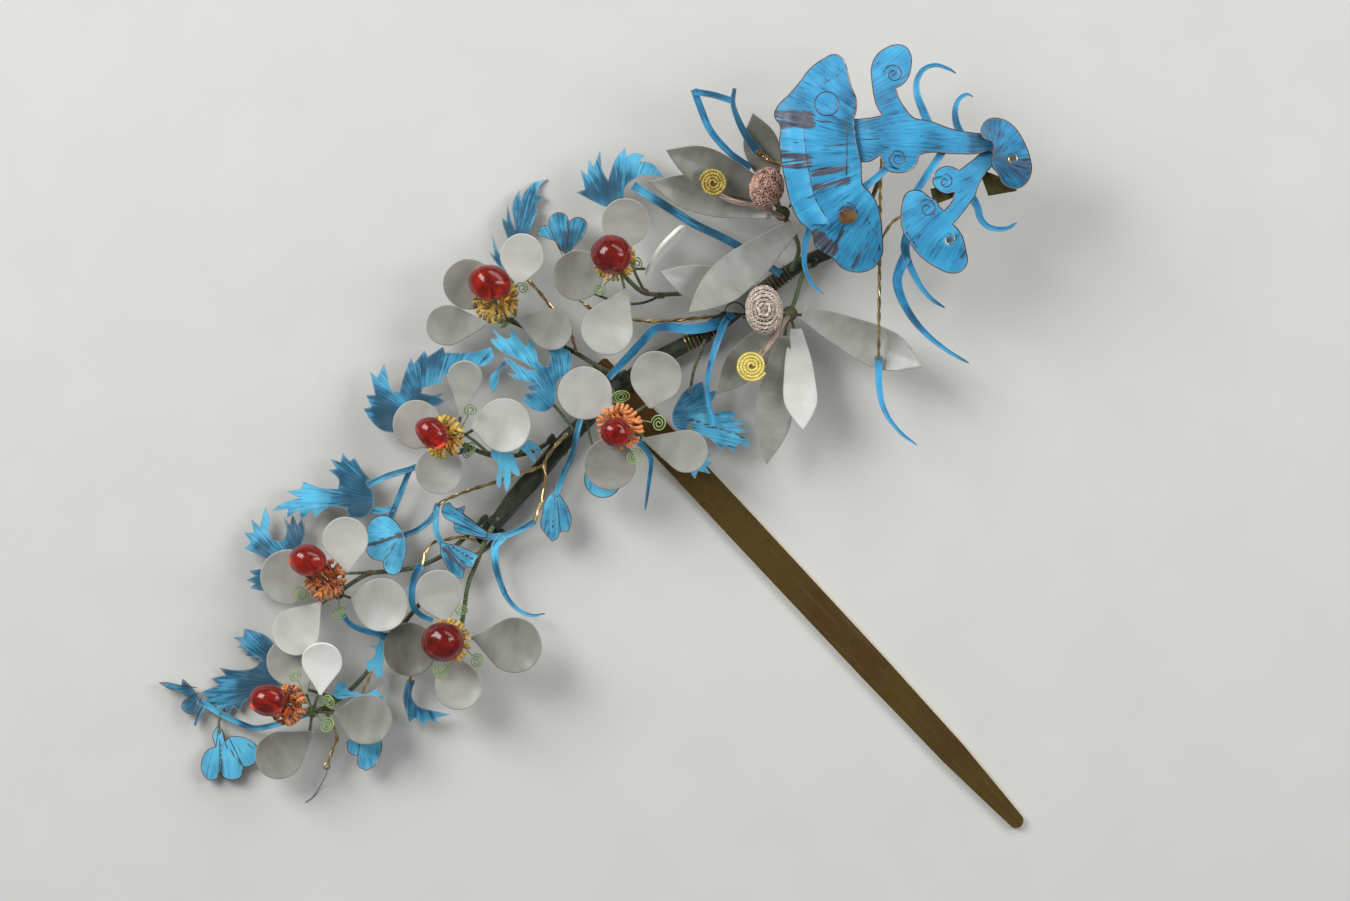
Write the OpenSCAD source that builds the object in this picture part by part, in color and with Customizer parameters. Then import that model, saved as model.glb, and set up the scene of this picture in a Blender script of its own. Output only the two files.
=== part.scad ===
// Flower hair ornament: a brass hair blade that carries a slanting spray of wired blossoms.
// Places in the plane are millimetres on a layout sheet, X to the right and Y up the sheet.
// Heights are millimetres above the surface on which the ornament lies.

/* [Blade] */
// Length of the hair blade, from its covered top to its round tip
blade_length = 126; // [110:1:130]
// Width of the blade at its top
blade_width = 6.4; // [5:0.1:6.6]
// Thickness of the blade
blade_thickness = 1.2; // [0.8:0.1:1.3]

/* [Petals] */
// Thickness of the pale petals
petal_thickness = 0.8; // [0.5:0.1:0.8]
// Radius of the hollow in the round petals
petal_dish = 26; // [24:1:40]
// Radius of the hollow in the long lily petals
lily_dish = 34; // [32:1:60]
// Narrow end of a lily petal, as a part of its width
lily_neck = 0.34; // [0.25:0.01:0.4]

/* [Beads and ruffs] */
// Radius of the bore in the glass beads
bead_bore = 0.55; // [0.5:0.05:0.6]
// Radius of the wire pin that carries a bead
pin_radius = 0.3; // [0.2:0.05:0.3]
// Height of the looped thread ruff under a bead
ruff_height = 2.4; // [1.8:0.1:2.4]
// Floor of the ruff under the bead
ruff_floor = 0.7; // [0.5:0.1:0.7]
// Number of thread loops round a ruff
ruff_loops = 14; // [10:1:16]
// Depth of the notches between the loops
ruff_notch = 0.5; // [0.3:0.1:0.6]

/* [Coils] */
// Width of the green coil wire
coil_wire = 0.2; // [0.15:0.05:0.2]
// Turns in a green coil
coil_turns = 3; // [2:1:3]

/* [Sheet metal] */
// Thickness of the blue leaves
leaf_thickness = 0.6; // [0.4:0.1:0.6]
// Thickness of the blue tendrils
tendril_thickness = 0.5; // [0.4:0.05:0.5]
// Thickness of the cloud plates
cloud_thickness = 0.8; // [0.5:0.1:0.8]

/* [Wires] */
// Radius of a silk-wound twig
twig_radius = 0.5; // [0.4:0.05:0.5]
// Radius of a leaf's wire stalk
stalk_radius = 0.35; // [0.25:0.05:0.35]
// Radius of a gilt twisted wire
gilt_radius = 0.4; // [0.3:0.05:0.4]

/* [Hidden] */
// Sheet point under the middle of the ornament
sheet_mid = [118.65, 92.374];
// Clearance between a piece and its seat
seat_gap = 0.18;
sphere_steps = 96;

brass = "#7a6236";
silk_green = "#3a4a2a";
nacre = "#c9c8bd";
ruby = "#a01c1c";
orange_thread = "#d8742c";
yellow_thread = "#d9a92e";
pale_green = "#9fbf8a";
pink_thread = "#d99c8c";
gold_thread = "#d8b53a";
feather_blue = "#3fa9e0";
gilt = "#c79a45";

// Blossoms: hub x, hub y, hub height, bead x, bead y, bead height, bead length, bead width, bead spin,
// ruff radius, yellow ruff, ruff's place along the pin, ruff's lean as a part of the pin's
blossoms = [
    [62.3, 37.6, 6.5, 53.7, 40.0, 14.4, 7.8, 6.5, 0, 4.7, false, 0.49, 0.5],
    [67.5, 61.3, 8.5, 61.6, 68.0, 16.6, 7.8, 6.5, -10, 4.7, false, 0.38, 0.2],
    [91.0, 52.2, 8.5, 88.7, 51.7, 17.0, 8.7, 8.2, 0, 5.0, true, 0.4, 1],
    [91.0, 91.8, 11.0, 86.6, 93.4, 19.4, 7.4, 5.8, -40, 4.9, true, 0.44, 0.6],
    [100.2, 116.5, 9.0, 98.0, 123.4, 18.2, 8.8, 7.3, -15, 5.2, true, 0.42, 0.55],
    [123.9, 126.2, 11.5, 122.3, 129.0, 20.2, 8.2, 8.0, 0, 4.8, true, 0.45, 1],
    [124.8, 96.3, 12.0, 123.3, 93.5, 20.6, 6.6, 6.0, -20, 5.2, false, 0.46, 0.8]
];
function hub_of(b) = [b[0], b[1], b[2]];
function bead_of(b) = [b[3], b[4], b[5]];

// Petals: blossom, tip x, tip y, round end x, round end y, width, tip height, rise, roll
petal_rows = [
    [1, 61.3, 40.8, 56.0, 52.0, 9.8, 6.9, -4, 0],
    [1, 64.0, 41.0, 64.6, 51.9, 8.2, 8.0, 19, 0],
    [1, 66.5, 37.4, 78.4, 35.0, 10.2, 6.9, 3, 0],
    [1, 62.8, 33.8, 51.8, 26.0, 9.6, 6.9, -2, 0],
    [2, 63.5, 63.7, 52.0, 65.4, 11.0, 9.0, 2, 0],
    [2, 69.3, 65.3, 68.9, 76.8, 9.2, 8.9, 8, 0],
    [2, 69.9, 60.2, 81.6, 58.0, 10.8, 8.9, 6, 0],
    [2, 64.2, 59.6, 56.0, 50.0, 9.6, 8.9, 3, 0],
    [3, 89.3, 55.5, 86.6, 66.1, 9.4, 8.9, 8, 0],
    [3, 94.3, 52.5, 108.4, 49.9, 11.2, 8.9, 4, 0],
    [3, 91.6, 48.6, 91.7, 37.9, 9.5, 8.9, 6, 0],
    [3, 88.0, 51.0, 76.8, 49.4, 10.8, 8.7, -8, 0],
    [4, 89.0, 93.5, 78.7, 96.6, 9.7, 11.4, 4, 0],
    [4, 92.2, 96.6, 93.4, 108.2, 7.0, 11.4, 14, 0],
    [4, 94.2, 94.5, 106.4, 95.3, 10.9, 11.4, 5, 0],
    [4, 88.6, 91.3, 87.2, 81.3, 9.6, 11.4, -6, 0],
    [5, 99.6, 119.4, 89.4, 125.9, 10.2, 9.3, -3, 0],
    [5, 98.0, 115.3, 85.3, 114.8, 8.3, 8.2, -6, 0],
    [5, 103.6, 122.6, 105.0, 133.4, 8.9, 9.3, 8, 0],
    [5, 102.6, 116.6, 114.2, 112.8, 8.4, 9.3, -2, 0],
    [6, 121.0, 125.6, 110.6, 124.3, 10.1, 11.8, -2, 0],
    [6, 124.8, 130.2, 125.5, 140.5, 9.7, 11.8, 10, 0],
    [6, 125.7, 122.7, 119.2, 109.6, 10.4, 11.8, -3, 0],
    [6, 128.3, 125.2, 135.8, 135.7, 8.6, 12.5, 6, 80],
    [7, 122.5, 97.6, 112.6, 104.4, 10.8, 12.4, -2, 0],
    [7, 130.0, 98.2, 132.3, 109.8, 10.4, 12.4, 6, 0],
    [7, 128.0, 92.4, 141.4, 88.6, 8.6, 12.4, -3, 0],
    [7, 123.8, 92.6, 120.4, 82.2, 10.4, 12.4, 4, 0]
];

// Green coils: blossom, centre x, centre y, height, outer radius
coil_rows = [
    [1, 59.2, 45.0, 11.6, 1.6], [1, 65.8, 39.6, 9.4, 1.7], [1, 65.3, 34.8, 9.2, 1.9],
    [2, 60.0, 61.3, 11.12, 1.8], [2, 67.8, 57.3, 11.4, 1.9],
    [3, 88.0, 45.8, 11.2, 1.9], [3, 95.4, 47.8, 12.0, 1.7], [3, 92.5, 58.0, 12.0, 1.6],
    [4, 94.3, 98.0, 14.6, 1.6], [4, 93.8, 89.8, 14.0, 2.0],
    [5, 101.0, 114.8, 12.0, 1.4], [5, 104.5, 122.4, 11.5, 1.5],
    [6, 119.8, 122.0, 14.6, 1.5], [6, 127.6, 127.2, 14.2, 1.6],
    [7, 124.3, 100.7, 16.0, 2.2], [7, 131.8, 95.3, 15.4, 1.9], [7, 126.9, 88.6, 15.6, 2.0]
];

// Lilies: hub x, hub y, hub height, knot x, knot y, knot height, knot length, knot width, knot spin,
// disc x, disc y, disc height, disc radius
lilies = [
    [156.5, 137.3, 12.2, 153.3, 142.4, 17.9, 8.6, 7.2, 75, 142.6, 143.3, 16.4, 3.0],
    [158.0, 117.3, 9.6, 152.8, 118.0, 14.6, 10.6, 7.8, 95, 150.3, 106.8, 13.0, 3.3]
];
function knot_of(l) = [l[3], l[4], l[5]];
function disc_of(l) = [l[9], l[10], l[11]];
disc_thickness = 1;

// Lily petals: lily, base x, base y, tip x, tip y, width, base height, rise, roll, widest part
lily_rows = [
    [1, 154.4, 140.8, 133.0, 150.0, 7.8, 12.0, 2, 0, 0.62],
    [1, 154.4, 137.4, 129.7, 143.6, 7.4, 10.6, -2, 0, 0.6],
    [1, 154.4, 143.2, 150.4, 157.6, 7.4, 12.6, 8, 0, 0.5],
    [1, 158.6, 134.6, 137.4, 117.2, 8.4, 11.4, 4, 0, 0.6],
    [2, 155.6, 118.5, 131.7, 125.7, 8.2, 8.4, 2, 0, 0.6],
    [2, 155.4, 114.6, 143.2, 101.2, 7.4, 7.6, -2, 0, 0.5],
    [2, 156.8, 112.8, 153.3, 87.0, 7.4, 8.4, 0, 0, 0.62],
    [2, 159.2, 114.2, 160.6, 93.7, 6.8, 8.8, 4, 0, 0.66],
    [2, 160.6, 117.4, 184.7, 106.5, 8.2, 8.6, 2, 0, 0.66]
];

// Thread-wound stalks of the two discs, from the disc to the lily's hub
disc_stalks = [
    [[142.6, 142.2, 16.1], [144.5, 140.6, 15.9], [148, 139.3, 15.2], [152, 138.6, 14.6], [154.6, 137.4, 14.1], [156.6, 136.5, 13]],
    [[150.8, 107.8, 12.8], [152.8, 109.8, 12.8], [154.6, 112.2, 12.6], [156.2, 114.8, 12], [157.6, 116.6, 10.9]]
];

// Main stem: x, y, height, radius
stem_rows = [
    [95.5, 71.5, 3.0, 1.2], [99.0, 75.5, 3.1, 1.6], [104.5, 82.0, 3.2, 2.0], [111.0, 89.5, 3.3, 1.8],
    [118.0, 97.0, 3.1, 1.7], [124.0, 103.0, 3.1, 1.7], [132.0, 108.5, 3.1, 1.7], [141.0, 113.5, 3.0, 1.7],
    [150.0, 120.0, 2.6, 1.6], [158.0, 126.0, 2.0, 1.5], [167.5, 130.5, 1.4, 1.4]
];

// Twigs, from their root beside the main stem to just under their hub; the last one carries the cloud motif
twig_routes = [
    [[100.7, 74, 3.1], [97, 70.2, 3], [93.5, 68, 3], [88, 63.5, 3.1], [82, 57, 3.4], [76.5, 49.5, 3.9],
     [71.5, 43.5, 4.3], [67.5, 40, 4.6], [64, 38.3, 4.8], [62.3, 37.6, 5.2]],
    [[97.3, 77, 3.1], [93.8, 73.3, 3.1], [89, 69.3, 3.6], [84, 66.8, 4.2], [79, 65.8, 5], [74, 65.3, 5.7],
     [70.5, 63.5, 6.8], [67.5, 61.3, 7.2]],
    [[99.6, 76.4, 5.5], [97, 72, 5.2], [95.3, 67.5, 4.6], [93.5, 63, 4.6], [92.7, 58, 5.4],
     [92.2, 55, 6.4], [91, 52.2, 7.2]],
    [[110.6, 93.2, 3.5], [109.1, 91.2, 3.5], [105, 89.3, 4.6], [100, 88.7, 6.2], [96, 89.6, 7.6],
     [93, 91, 9], [91, 91.8, 9.7]],
    [[126, 104.5, 5.5], [121, 106, 5.4], [115, 109.5, 5.2], [108, 113, 5.4], [104, 115, 6],
     [101.6, 116, 7], [100.2, 116.5, 7.7]],
    [[151, 120.8, 4.9], [144, 121.6, 5.6], [136, 121.3, 6.6], [129.5, 121.3, 8.2], [126.3, 123.4, 9.4],
     [123.9, 126.2, 10.2]],
    [[122.3, 102.2, 5.36], [123.6, 99.4, 7.4], [124.5, 97.2, 9.6], [124.8, 96.3, 10.7]],
    [[158.4, 126.1, 4.12], [159.8, 130, 6.4], [158.6, 134, 9], [156.5, 137.3, 10.9]],
    [[163.4, 128.5, 3.78], [161.8, 127, 4.1], [160.4, 124.4, 5], [159.2, 120.4, 6.4], [158, 117.3, 8.3]],
    [[165.6, 129.6, 3.62], [167.8, 130.9, 3.8], [170.5, 133.5, 7], [173.6, 138.5, 13], [176, 144.5, 18.5],
     [178.4, 149.4, 22.4], [180.2, 152, 24.4]]
];

// Gilt twisted wires
gilt_routes = [
    [[113.4, 93.4, 6], [110.8, 90.6, 6.3], [108.9, 87.6, 6.3], [109, 84, 6.2], [108.4, 80.2, 6.4],
     [106.8, 75.7, 7.1]],
    [[108.9, 87, 6.3], [105, 85.6, 6.4], [100, 83.9, 6.4], [94, 82, 6.4], [89.5, 80.2, 6.8], [87.3, 78.9, 7]],
    [[95.2, 71.8, 4.8], [92, 72.5, 4.7], [88.5, 71.9, 4.4], [86.4, 71.3, 4.6], [85, 69.5, 5.4], [84.2, 67, 6.2]],
    [[81.8, 43.4, 4.6], [82.6, 47, 4.9], [85.5, 50.5, 5.4], [89.95, 52.08, 6.6]],
    [[72.3, 41.3, 6.55], [74.2, 45.6, 6.05]],
    [[65.2, 37, 5.62], [67.2, 32.6, 5.9], [66.6, 30.6, 5.8], [65.4, 27.2, 5.6]],
    [[104.4, 125, 7.4], [107, 122.6, 6.8], [110.5, 118.3, 6.2], [113.2, 115.6, 5.8], [115.3, 109.7, 6.24]],
    [[115.6, 120.4, 9.8], [118.4, 118.2, 9], [124, 116.6, 6.6], [131, 115.8, 5.8], [139, 116.4, 5.4],
     [143.2, 116.9, 4.42]],
    [[151.3, 149.8, 17], [152.4, 148.8, 16.9], [154, 147.7, 16.4], [156.6, 146.6, 14.6], [158, 143, 13],
     [158.4, 139.6, 12], [157.8, 138.6, 11.7]],
    [[176.2, 148, 23.85], [176, 145, 22.6], [175.9, 135, 18.6], [175.8, 120, 14.6], [175.7, 107.9, 13.2]],
    [[174.6, 129.8, 18.5], [176.4, 132.5, 19.6], [178.6, 135.6, 21.4], [181.4, 137.2, 22.9]]
];

// Leaf outlines, each on the layout sheet
leaf_low_left_line = [
    [57.5, 43.2], [55.4, 46], [54.2, 48.4], [54.6, 51], [53.2, 52.6], [51, 53.6], [48.6, 54.2], [48.4, 52.5],
    [46.3, 52.4], [48.3, 51.2], [46.9, 50.4], [49.4, 49.8], [48.8, 48.7], [51.8, 48.2], [51, 46.6],
    [47, 45.8], [43.6, 46.3], [44.8, 44.8], [41.9, 44.1], [43.5, 42.9], [39.8, 41.3], [41.2, 40.2],
    [40.4, 38.8], [43, 38.6], [43.2, 36.6], [44.6, 38.3], [45.4, 36.4], [46.4, 38.5], [47.6, 37.4],
    [48.6, 39.4], [51, 41], [54.4, 42.2]
];
leaf_left_line = [
    [59, 69], [60.4, 71.5], [60.9, 74], [60.1, 76.2], [59.3, 75], [58.3, 76.9], [57.7, 75], [56.6, 76.4],
    [57, 73], [56, 71.6], [54.6, 71.9], [53.6, 73.6], [53.7, 76], [52.8, 78.5], [51.7, 74.6], [50, 76.1],
    [50.5, 73.3], [48.6, 73.4], [49.9, 71.3], [48.6, 70.2], [51, 69], [53, 68], [53, 66.2], [49.5, 65.7],
    [50.8, 64.7], [49, 63.8], [50.8, 63.1], [49.7, 62.2], [53.5, 61.6], [59.5, 64.6]
];
leaf_far_left_line = [
    [54, 77.7], [56, 79.2], [59.6, 80.4], [57, 81.7], [60, 82.2], [60.5, 83.7], [64, 82.4], [67.4, 82.2],
    [67.6, 84], [65.5, 86], [67.2, 86.2], [65.9, 88.2], [68, 87.6], [68.4, 89.4], [69.8, 87.8], [70.8, 88.4],
    [72.3, 86], [73.8, 84], [74.6, 81], [74.4, 78], [72.6, 76.4], [69.6, 76.4], [69.2, 78.3], [66, 78.7],
    [62.6, 76.3], [62.4, 78.2], [60.1, 75.9], [59.6, 78], [57.2, 76.4], [57.4, 78.2]
];
leaf_upper_left_line = [
    [72.5, 98.3], [74.1, 98.6], [73.1, 101], [74.9, 101], [73.9, 105.7], [75.3, 104.5], [76.7, 107.3],
    [77.5, 104.5], [78.3, 101.9], [79.8, 101.5], [80.4, 104], [82, 108.5], [82.7, 107.3], [84.8, 110],
    [85.5, 108.7], [88.5, 110.7], [89, 109.5], [94.5, 109.6], [98.2, 110.7], [98.9, 108.5], [97.3, 107],
    [93.6, 106.8], [90.6, 106.5], [91.1, 105.7], [89.4, 105.1], [87.9, 104.4], [88.8, 103.4], [86.8, 103],
    [84.4, 102.4], [84.2, 101.4], [86.4, 101], [88.7, 101.5], [87.7, 100.5], [88.9, 99.9], [87.6, 98.8],
    [85, 98.8], [82.6, 98.7], [81.6, 97.2], [79.6, 93.8], [76.8, 93.7], [74.8, 95]
];
leaf_middle_line = [
    [98.1, 115.2], [98.6, 113.8], [99.5, 112.4], [98, 112.2], [98.6, 111.1], [100.2, 109.8],
    [102.5, 108.6], [104.4, 107.7], [107.2, 106], [105.2, 106.2], [103.4, 107.2], [102.2, 108.1],
    [100.8, 108.6], [101.3, 107.5], [102.1, 106.7], [102.6, 105.8], [103.5, 105], [101.2, 105.6],
    [102.8, 104.3], [104.6, 103.8], [107.3, 103.2], [104.9, 103], [106.1, 101.9], [107.2, 101.6],
    [105.8, 101.4], [104.4, 101.3], [105.1, 100.5], [104.1, 100.1], [106, 98.5], [108.6, 97.6],
    [110.4, 98.6], [111.2, 101], [111.4, 103.6], [113.9, 106], [114.1, 109.5], [113, 110.3],
    [112.3, 110.8], [111.4, 112.3], [110.8, 110.4], [108.5, 112.2], [109.5, 110.2], [110, 108.6],
    [109.6, 106.8], [108.4, 107], [107.6, 107.9], [107.4, 109.3], [106.8, 111], [105.8, 112.3],
    [105.2, 110.7], [104, 112.1], [102.9, 113.6], [102.2, 114.4], [102, 112.6], [101.2, 112.3],
    [100.2, 112.8], [99.1, 113.9]
];
leaf_drop_line = [
    [98.5, 101.3], [97.8, 103], [98.1, 105], [99.3, 106.3], [100.6, 107.9], [101.5, 108], [101.7, 107.3],
    [99.9, 105.6], [99.7, 104], [99.2, 102.4]
];
leaf_short_line = [
    [98.3, 90.4], [98.2, 88.5], [99.3, 87.7], [99.5, 86.4], [99.2, 84.2], [99.4, 82.8], [99.8, 82.3],
    [100.2, 83.6], [100.4, 86], [100.7, 84.2], [100.9, 82.5], [101.3, 81.5], [101.9, 82.9], [102.1, 84.6],
    [102.1, 86.2], [102.9, 85], [103.6, 84.7], [103.9, 85.1], [103.4, 86.9], [102.8, 88.6], [102.1, 90.6]
];
leaf_fingers_line = [
    [103.8, 90.4], [105.2, 89.2], [106, 88.2], [106.9, 87.3], [107.2, 88.3], [106.5, 89.3], [105.9, 90.3],
    [107, 89.7], [108.6, 89.1], [107.9, 90.4], [106.9, 91.5], [105.7, 92.1]
];
leaf_top_left_line = [
    [101.8, 131.6], [100.8, 133.7], [100.4, 135], [100.2, 136.5], [101.1, 135.8], [101.3, 139.3],
    [101.7, 137.6], [102.2, 135.8], [102.8, 134.2], [102.6, 136], [102.2, 137.9], [102.6, 140.2],
    [103.7, 142.1], [104, 139.9], [104.5, 141.3], [105.3, 142.4], [106.5, 143.5], [109.3, 144.3],
    [107.7, 142.8], [107.3, 141.2], [108.7, 140.7], [107.6, 139.8], [107, 138.2], [107.9, 137.7],
    [107, 136.9], [106.5, 135.4], [105.7, 133.6], [104, 130.6]
];
leaf_sprig_line = [
    [101, 125.6], [99.2, 127.4], [97.6, 129.9], [98.8, 129], [98.2, 133.6], [99.6, 130.5], [100.6, 128.3],
    [102.4, 127.4]
];
leaf_top_line = [
    [122, 138.4], [119, 139.6], [115.2, 141.6], [117, 142.2], [116, 146.3], [117.4, 145], [117.7, 148.2],
    [118.7, 146.8], [120, 150.1], [120.5, 146], [121.6, 144], [122.3, 146.3], [123, 148.2], [125.1, 150.6],
    [125.2, 148.8], [127, 149.5], [128.9, 149], [127.8, 147.9], [130.5, 147.3], [132.8, 144.6],
    [129.5, 145], [127, 144.4], [125, 142.5], [124.8, 140.8], [125.4, 138.4]
];
leaf_right_line = [
    [134.4, 96], [135.2, 98.2], [136.2, 101], [138, 102.8], [140.5, 103.8], [141, 101.5], [143.5, 102],
    [142.4, 99.8], [141.2, 99], [142.5, 97.6], [145, 97.9], [147.6, 97.6], [146.5, 96.3], [150.2, 95.4],
    [147, 94.9], [150.2, 93.6], [147.2, 93.3], [149.8, 91.6], [150, 90.4], [147.8, 91.3], [146.6, 89.6],
    [145.3, 90.8], [144, 90], [142.5, 91.8], [139, 93.4], [136, 93.8]
];
leaf_tip_line = [
    [137.2, 87.6], [138.2, 85.3], [139, 84.2], [139.6, 85.8], [142.2, 85.2], [141.2, 86.6], [142.5, 87.4],
    [141.4, 88], [142.2, 89], [140.5, 90.4], [138, 90]
];
leaf_comb_line = [
    [76.2, 53.2], [75.3, 51], [73.6, 50.8], [75, 50], [74.7, 48.6], [73.2, 47.4], [73.4, 45.4], [75, 46.2],
    [74.6, 44.2], [76, 44.6], [77.6, 43.6], [76.4, 45.5], [76.6, 48], [77.3, 51], [78, 53.4]
];
leaf_bar_line = [
    [66.2, 41], [67.4, 43.5], [68.8, 43.4], [69.6, 41.8], [72, 41.6], [73.4, 41.3], [75, 42.2], [76, 41],
    [77.3, 40.3], [75, 40.1], [70, 40.5], [67.5, 40.1]
];
leaf_claw_line = [
    [81.2, 43.9], [80.4, 40.5], [81, 38], [81.7, 35.2], [82.8, 36.2], [84.8, 34.7], [85.3, 36],
    [87.4, 35], [87, 36.2], [90.1, 36.9], [86, 37.8], [83.5, 38.6], [82.2, 40.5], [82.8, 43.8]
];
blossom_low_line = [
    [43, 34.4], [42.2, 32.8], [42.8, 30.4], [41, 29.6], [40, 27.6], [40, 25.6], [41.4, 23.8], [42.8, 24],
    [43.6, 25.6], [44.4, 24.3], [46, 23.8], [47.8, 24.4], [48.4, 26.2], [49.8, 26.6], [51.2, 28],
    [51.3, 29.8], [50.2, 31.4], [47.5, 32], [45.8, 32.4], [44.6, 31.4], [44.3, 33.4]
];
bud_low_line = [
    [31.4, 43.3], [33.6, 42], [36, 41.2], [37.2, 40.2], [36.2, 39.4], [36, 38.2], [37, 37.2], [38.5, 37.3],
    [39.2, 38.6], [39.4, 40], [38.2, 42], [36.2, 44], [35.9, 42.7], [33, 43.3]
];
blossom_side_line = [
    [73.3, 73.4], [73.6, 75.2], [75.2, 76.6], [77.2, 76.8], [78.8, 75.8], [80.2, 74], [81.2, 71.4],
    [80.6, 67.6], [79.6, 65.4], [78.2, 65], [76.8, 66], [76.4, 67.6], [74.4, 68.2], [73.2, 69.8]
];
blossom_fan_line = [
    [88, 71.4], [89.5, 71.2], [92, 70.6], [95.6, 68.9], [94.4, 66.5], [93, 66.7], [92.4, 64.3],
    [90.8, 64.6], [89, 67.2], [88, 69.5]
];
leaf_wedge_line = [
    [88.3, 77.6], [88.6, 79], [89.8, 79.5], [91, 78.3], [92.9, 78.8], [92.6, 77.2], [95, 75.3],
    [97.4, 73.6], [97, 72.4], [93.5, 73], [91, 73.8], [90.6, 75.5], [89.2, 76.2]
];
bud_drop_line = [
    [110.4, 81.4], [108.9, 79.6], [108.4, 77], [108.1, 74.8], [108.9, 73.4], [110.4, 71.7], [111.4, 72.3],
    [112, 73.6], [113.6, 73.7], [114.2, 75.6], [113.8, 77.8], [112.6, 80], [111.6, 81.4]
];
blossom_top_line = [
    [112.6, 129.6], [111.4, 131.6], [109.6, 132.4], [107.4, 133.2], [108.2, 134.8], [109.7, 135],
    [109.9, 136.6], [111.4, 137.6], [113, 137.2], [113.8, 135.8], [115.2, 136.6], [116.8, 136.2],
    [117.4, 134.6], [116.4, 132.6], [114.6, 130.6], [113.8, 129.6]
];
bud_under_line = [
    [69.2, 31.6], [69.6, 29.4], [71.4, 28.6], [71.4, 26.8], [73, 25.7], [74.6, 26.6], [76, 29.4],
    [76.2, 31.6], [72.8, 33]
];

// Cloud plate outlines on the layout sheet
fan_line = [
    [154.8, 156.6], [155.6, 158.6], [157.6, 160.6], [160, 163.4], [162, 166], [164.6, 167.9], [166.6, 168.8],
    [168.2, 168.2], [169.3, 165.6], [170, 162.6], [171.1, 159.6], [171, 157.4], [170.6, 155.8],
    [171.2, 151], [172, 147], [172.4, 142.6], [173.6, 141.4], [175, 139.4], [175.9, 136.4], [176.3, 132.5],
    [176.3, 129], [175.2, 127], [173.4, 125.8], [171, 125.5], [168.4, 126.3], [166.4, 128.4], [164.8, 129.3],
    [163, 130.7], [162.4, 133.2], [160, 135.4], [158.4, 138.2],
    [157.2, 142.4], [156.5, 146.6], [155.8, 151], [156, 154.4]
];
branch_line = [
    [169.8, 147.8], [169.8, 155.7], [174.8, 156.2], [176.3, 156.6], [175.2, 158.4], [174.6, 160.6],
    [174.2, 163.5], [174.1, 166], [174.9, 168.2], [176.4, 169.7], [178.4, 170.3], [179.6, 170.7],
    [181.2, 170], [182, 168.4], [182, 166.6], [181.4, 164.2], [180.2, 162.7], [178.9, 162], [179.6, 159.8],
    [181, 157.6], [182.4, 156.1], [185.6, 155.4], [188, 154.6], [190.5, 153.7], [194, 153.2], [198.6, 152.6],
    [198.6, 149.8], [195, 149], [190, 149], [185.5, 149.2], [183.6, 148.6], [183, 147], [181.8, 145.7],
    [179.4, 145.2], [177.2, 145.8], [176.3, 147.4], [175.9, 148.8], [173.6, 147.4]
];
cap_line = [
    [196, 152.6], [196.2, 154.6], [197.4, 155.8], [199.2, 156], [201, 155.4], [203, 153.6], [204.6, 150.8],
    [205.6, 148], [205.9, 145.8], [205.2, 143.6], [203.6, 142.2], [201.8, 142.1], [200.2, 143], [199.2, 145],
    [198, 146.6], [198.2, 149.3], [198.2, 151]
];
head_line = [
    [199.4, 148.6], [197.2, 149.6], [194.2, 147.6], [191.6, 145.6], [190.4, 146.2], [188.8, 146.4],
    [187, 145.4], [186.3, 143.6], [187.2, 141.9], [189, 141], [190.6, 141.3], [190.2, 139.6],
    [188.6, 137.6], [187.6, 138.4], [186.8, 139.8], [185.6, 140.3], [184.2, 141.4], [182.6, 141.7],
    [181, 141], [180.3, 139.2], [180, 136.4], [180.3, 134], [181.4, 131.8], [183, 129.6], [184.8, 127.8],
    [187, 126.4], [189.2, 125.4], [191.2, 125.3], [192.6, 126.2], [193.2, 127.6], [192.8, 130],
    [192.2, 132.4], [191, 134.2], [190.2, 134.9], [191.5, 136.4], [193.2, 138.6], [194.6, 140.6],
    [195.4, 142.8], [196.6, 144.8], [198.2, 146.8]
];
backing_line = [[195.4, 146], [197.4, 140.6], [203.2, 141.6], [200, 144.2]];
backing_low_line = [[185.8, 142], [186.6, 138.8], [190.8, 140.4], [190.2, 142.8]];

// Cloud plates: middle x, middle y, height of the crown, radius of the dome
fan_dome = [165, 150, 26.2, 45];
branch_dome = [184, 153, 26, 60];
head_dome = [190, 138, 24.9, 60];
cap_dome = [201.5, 149, 26.85, 22];

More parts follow.
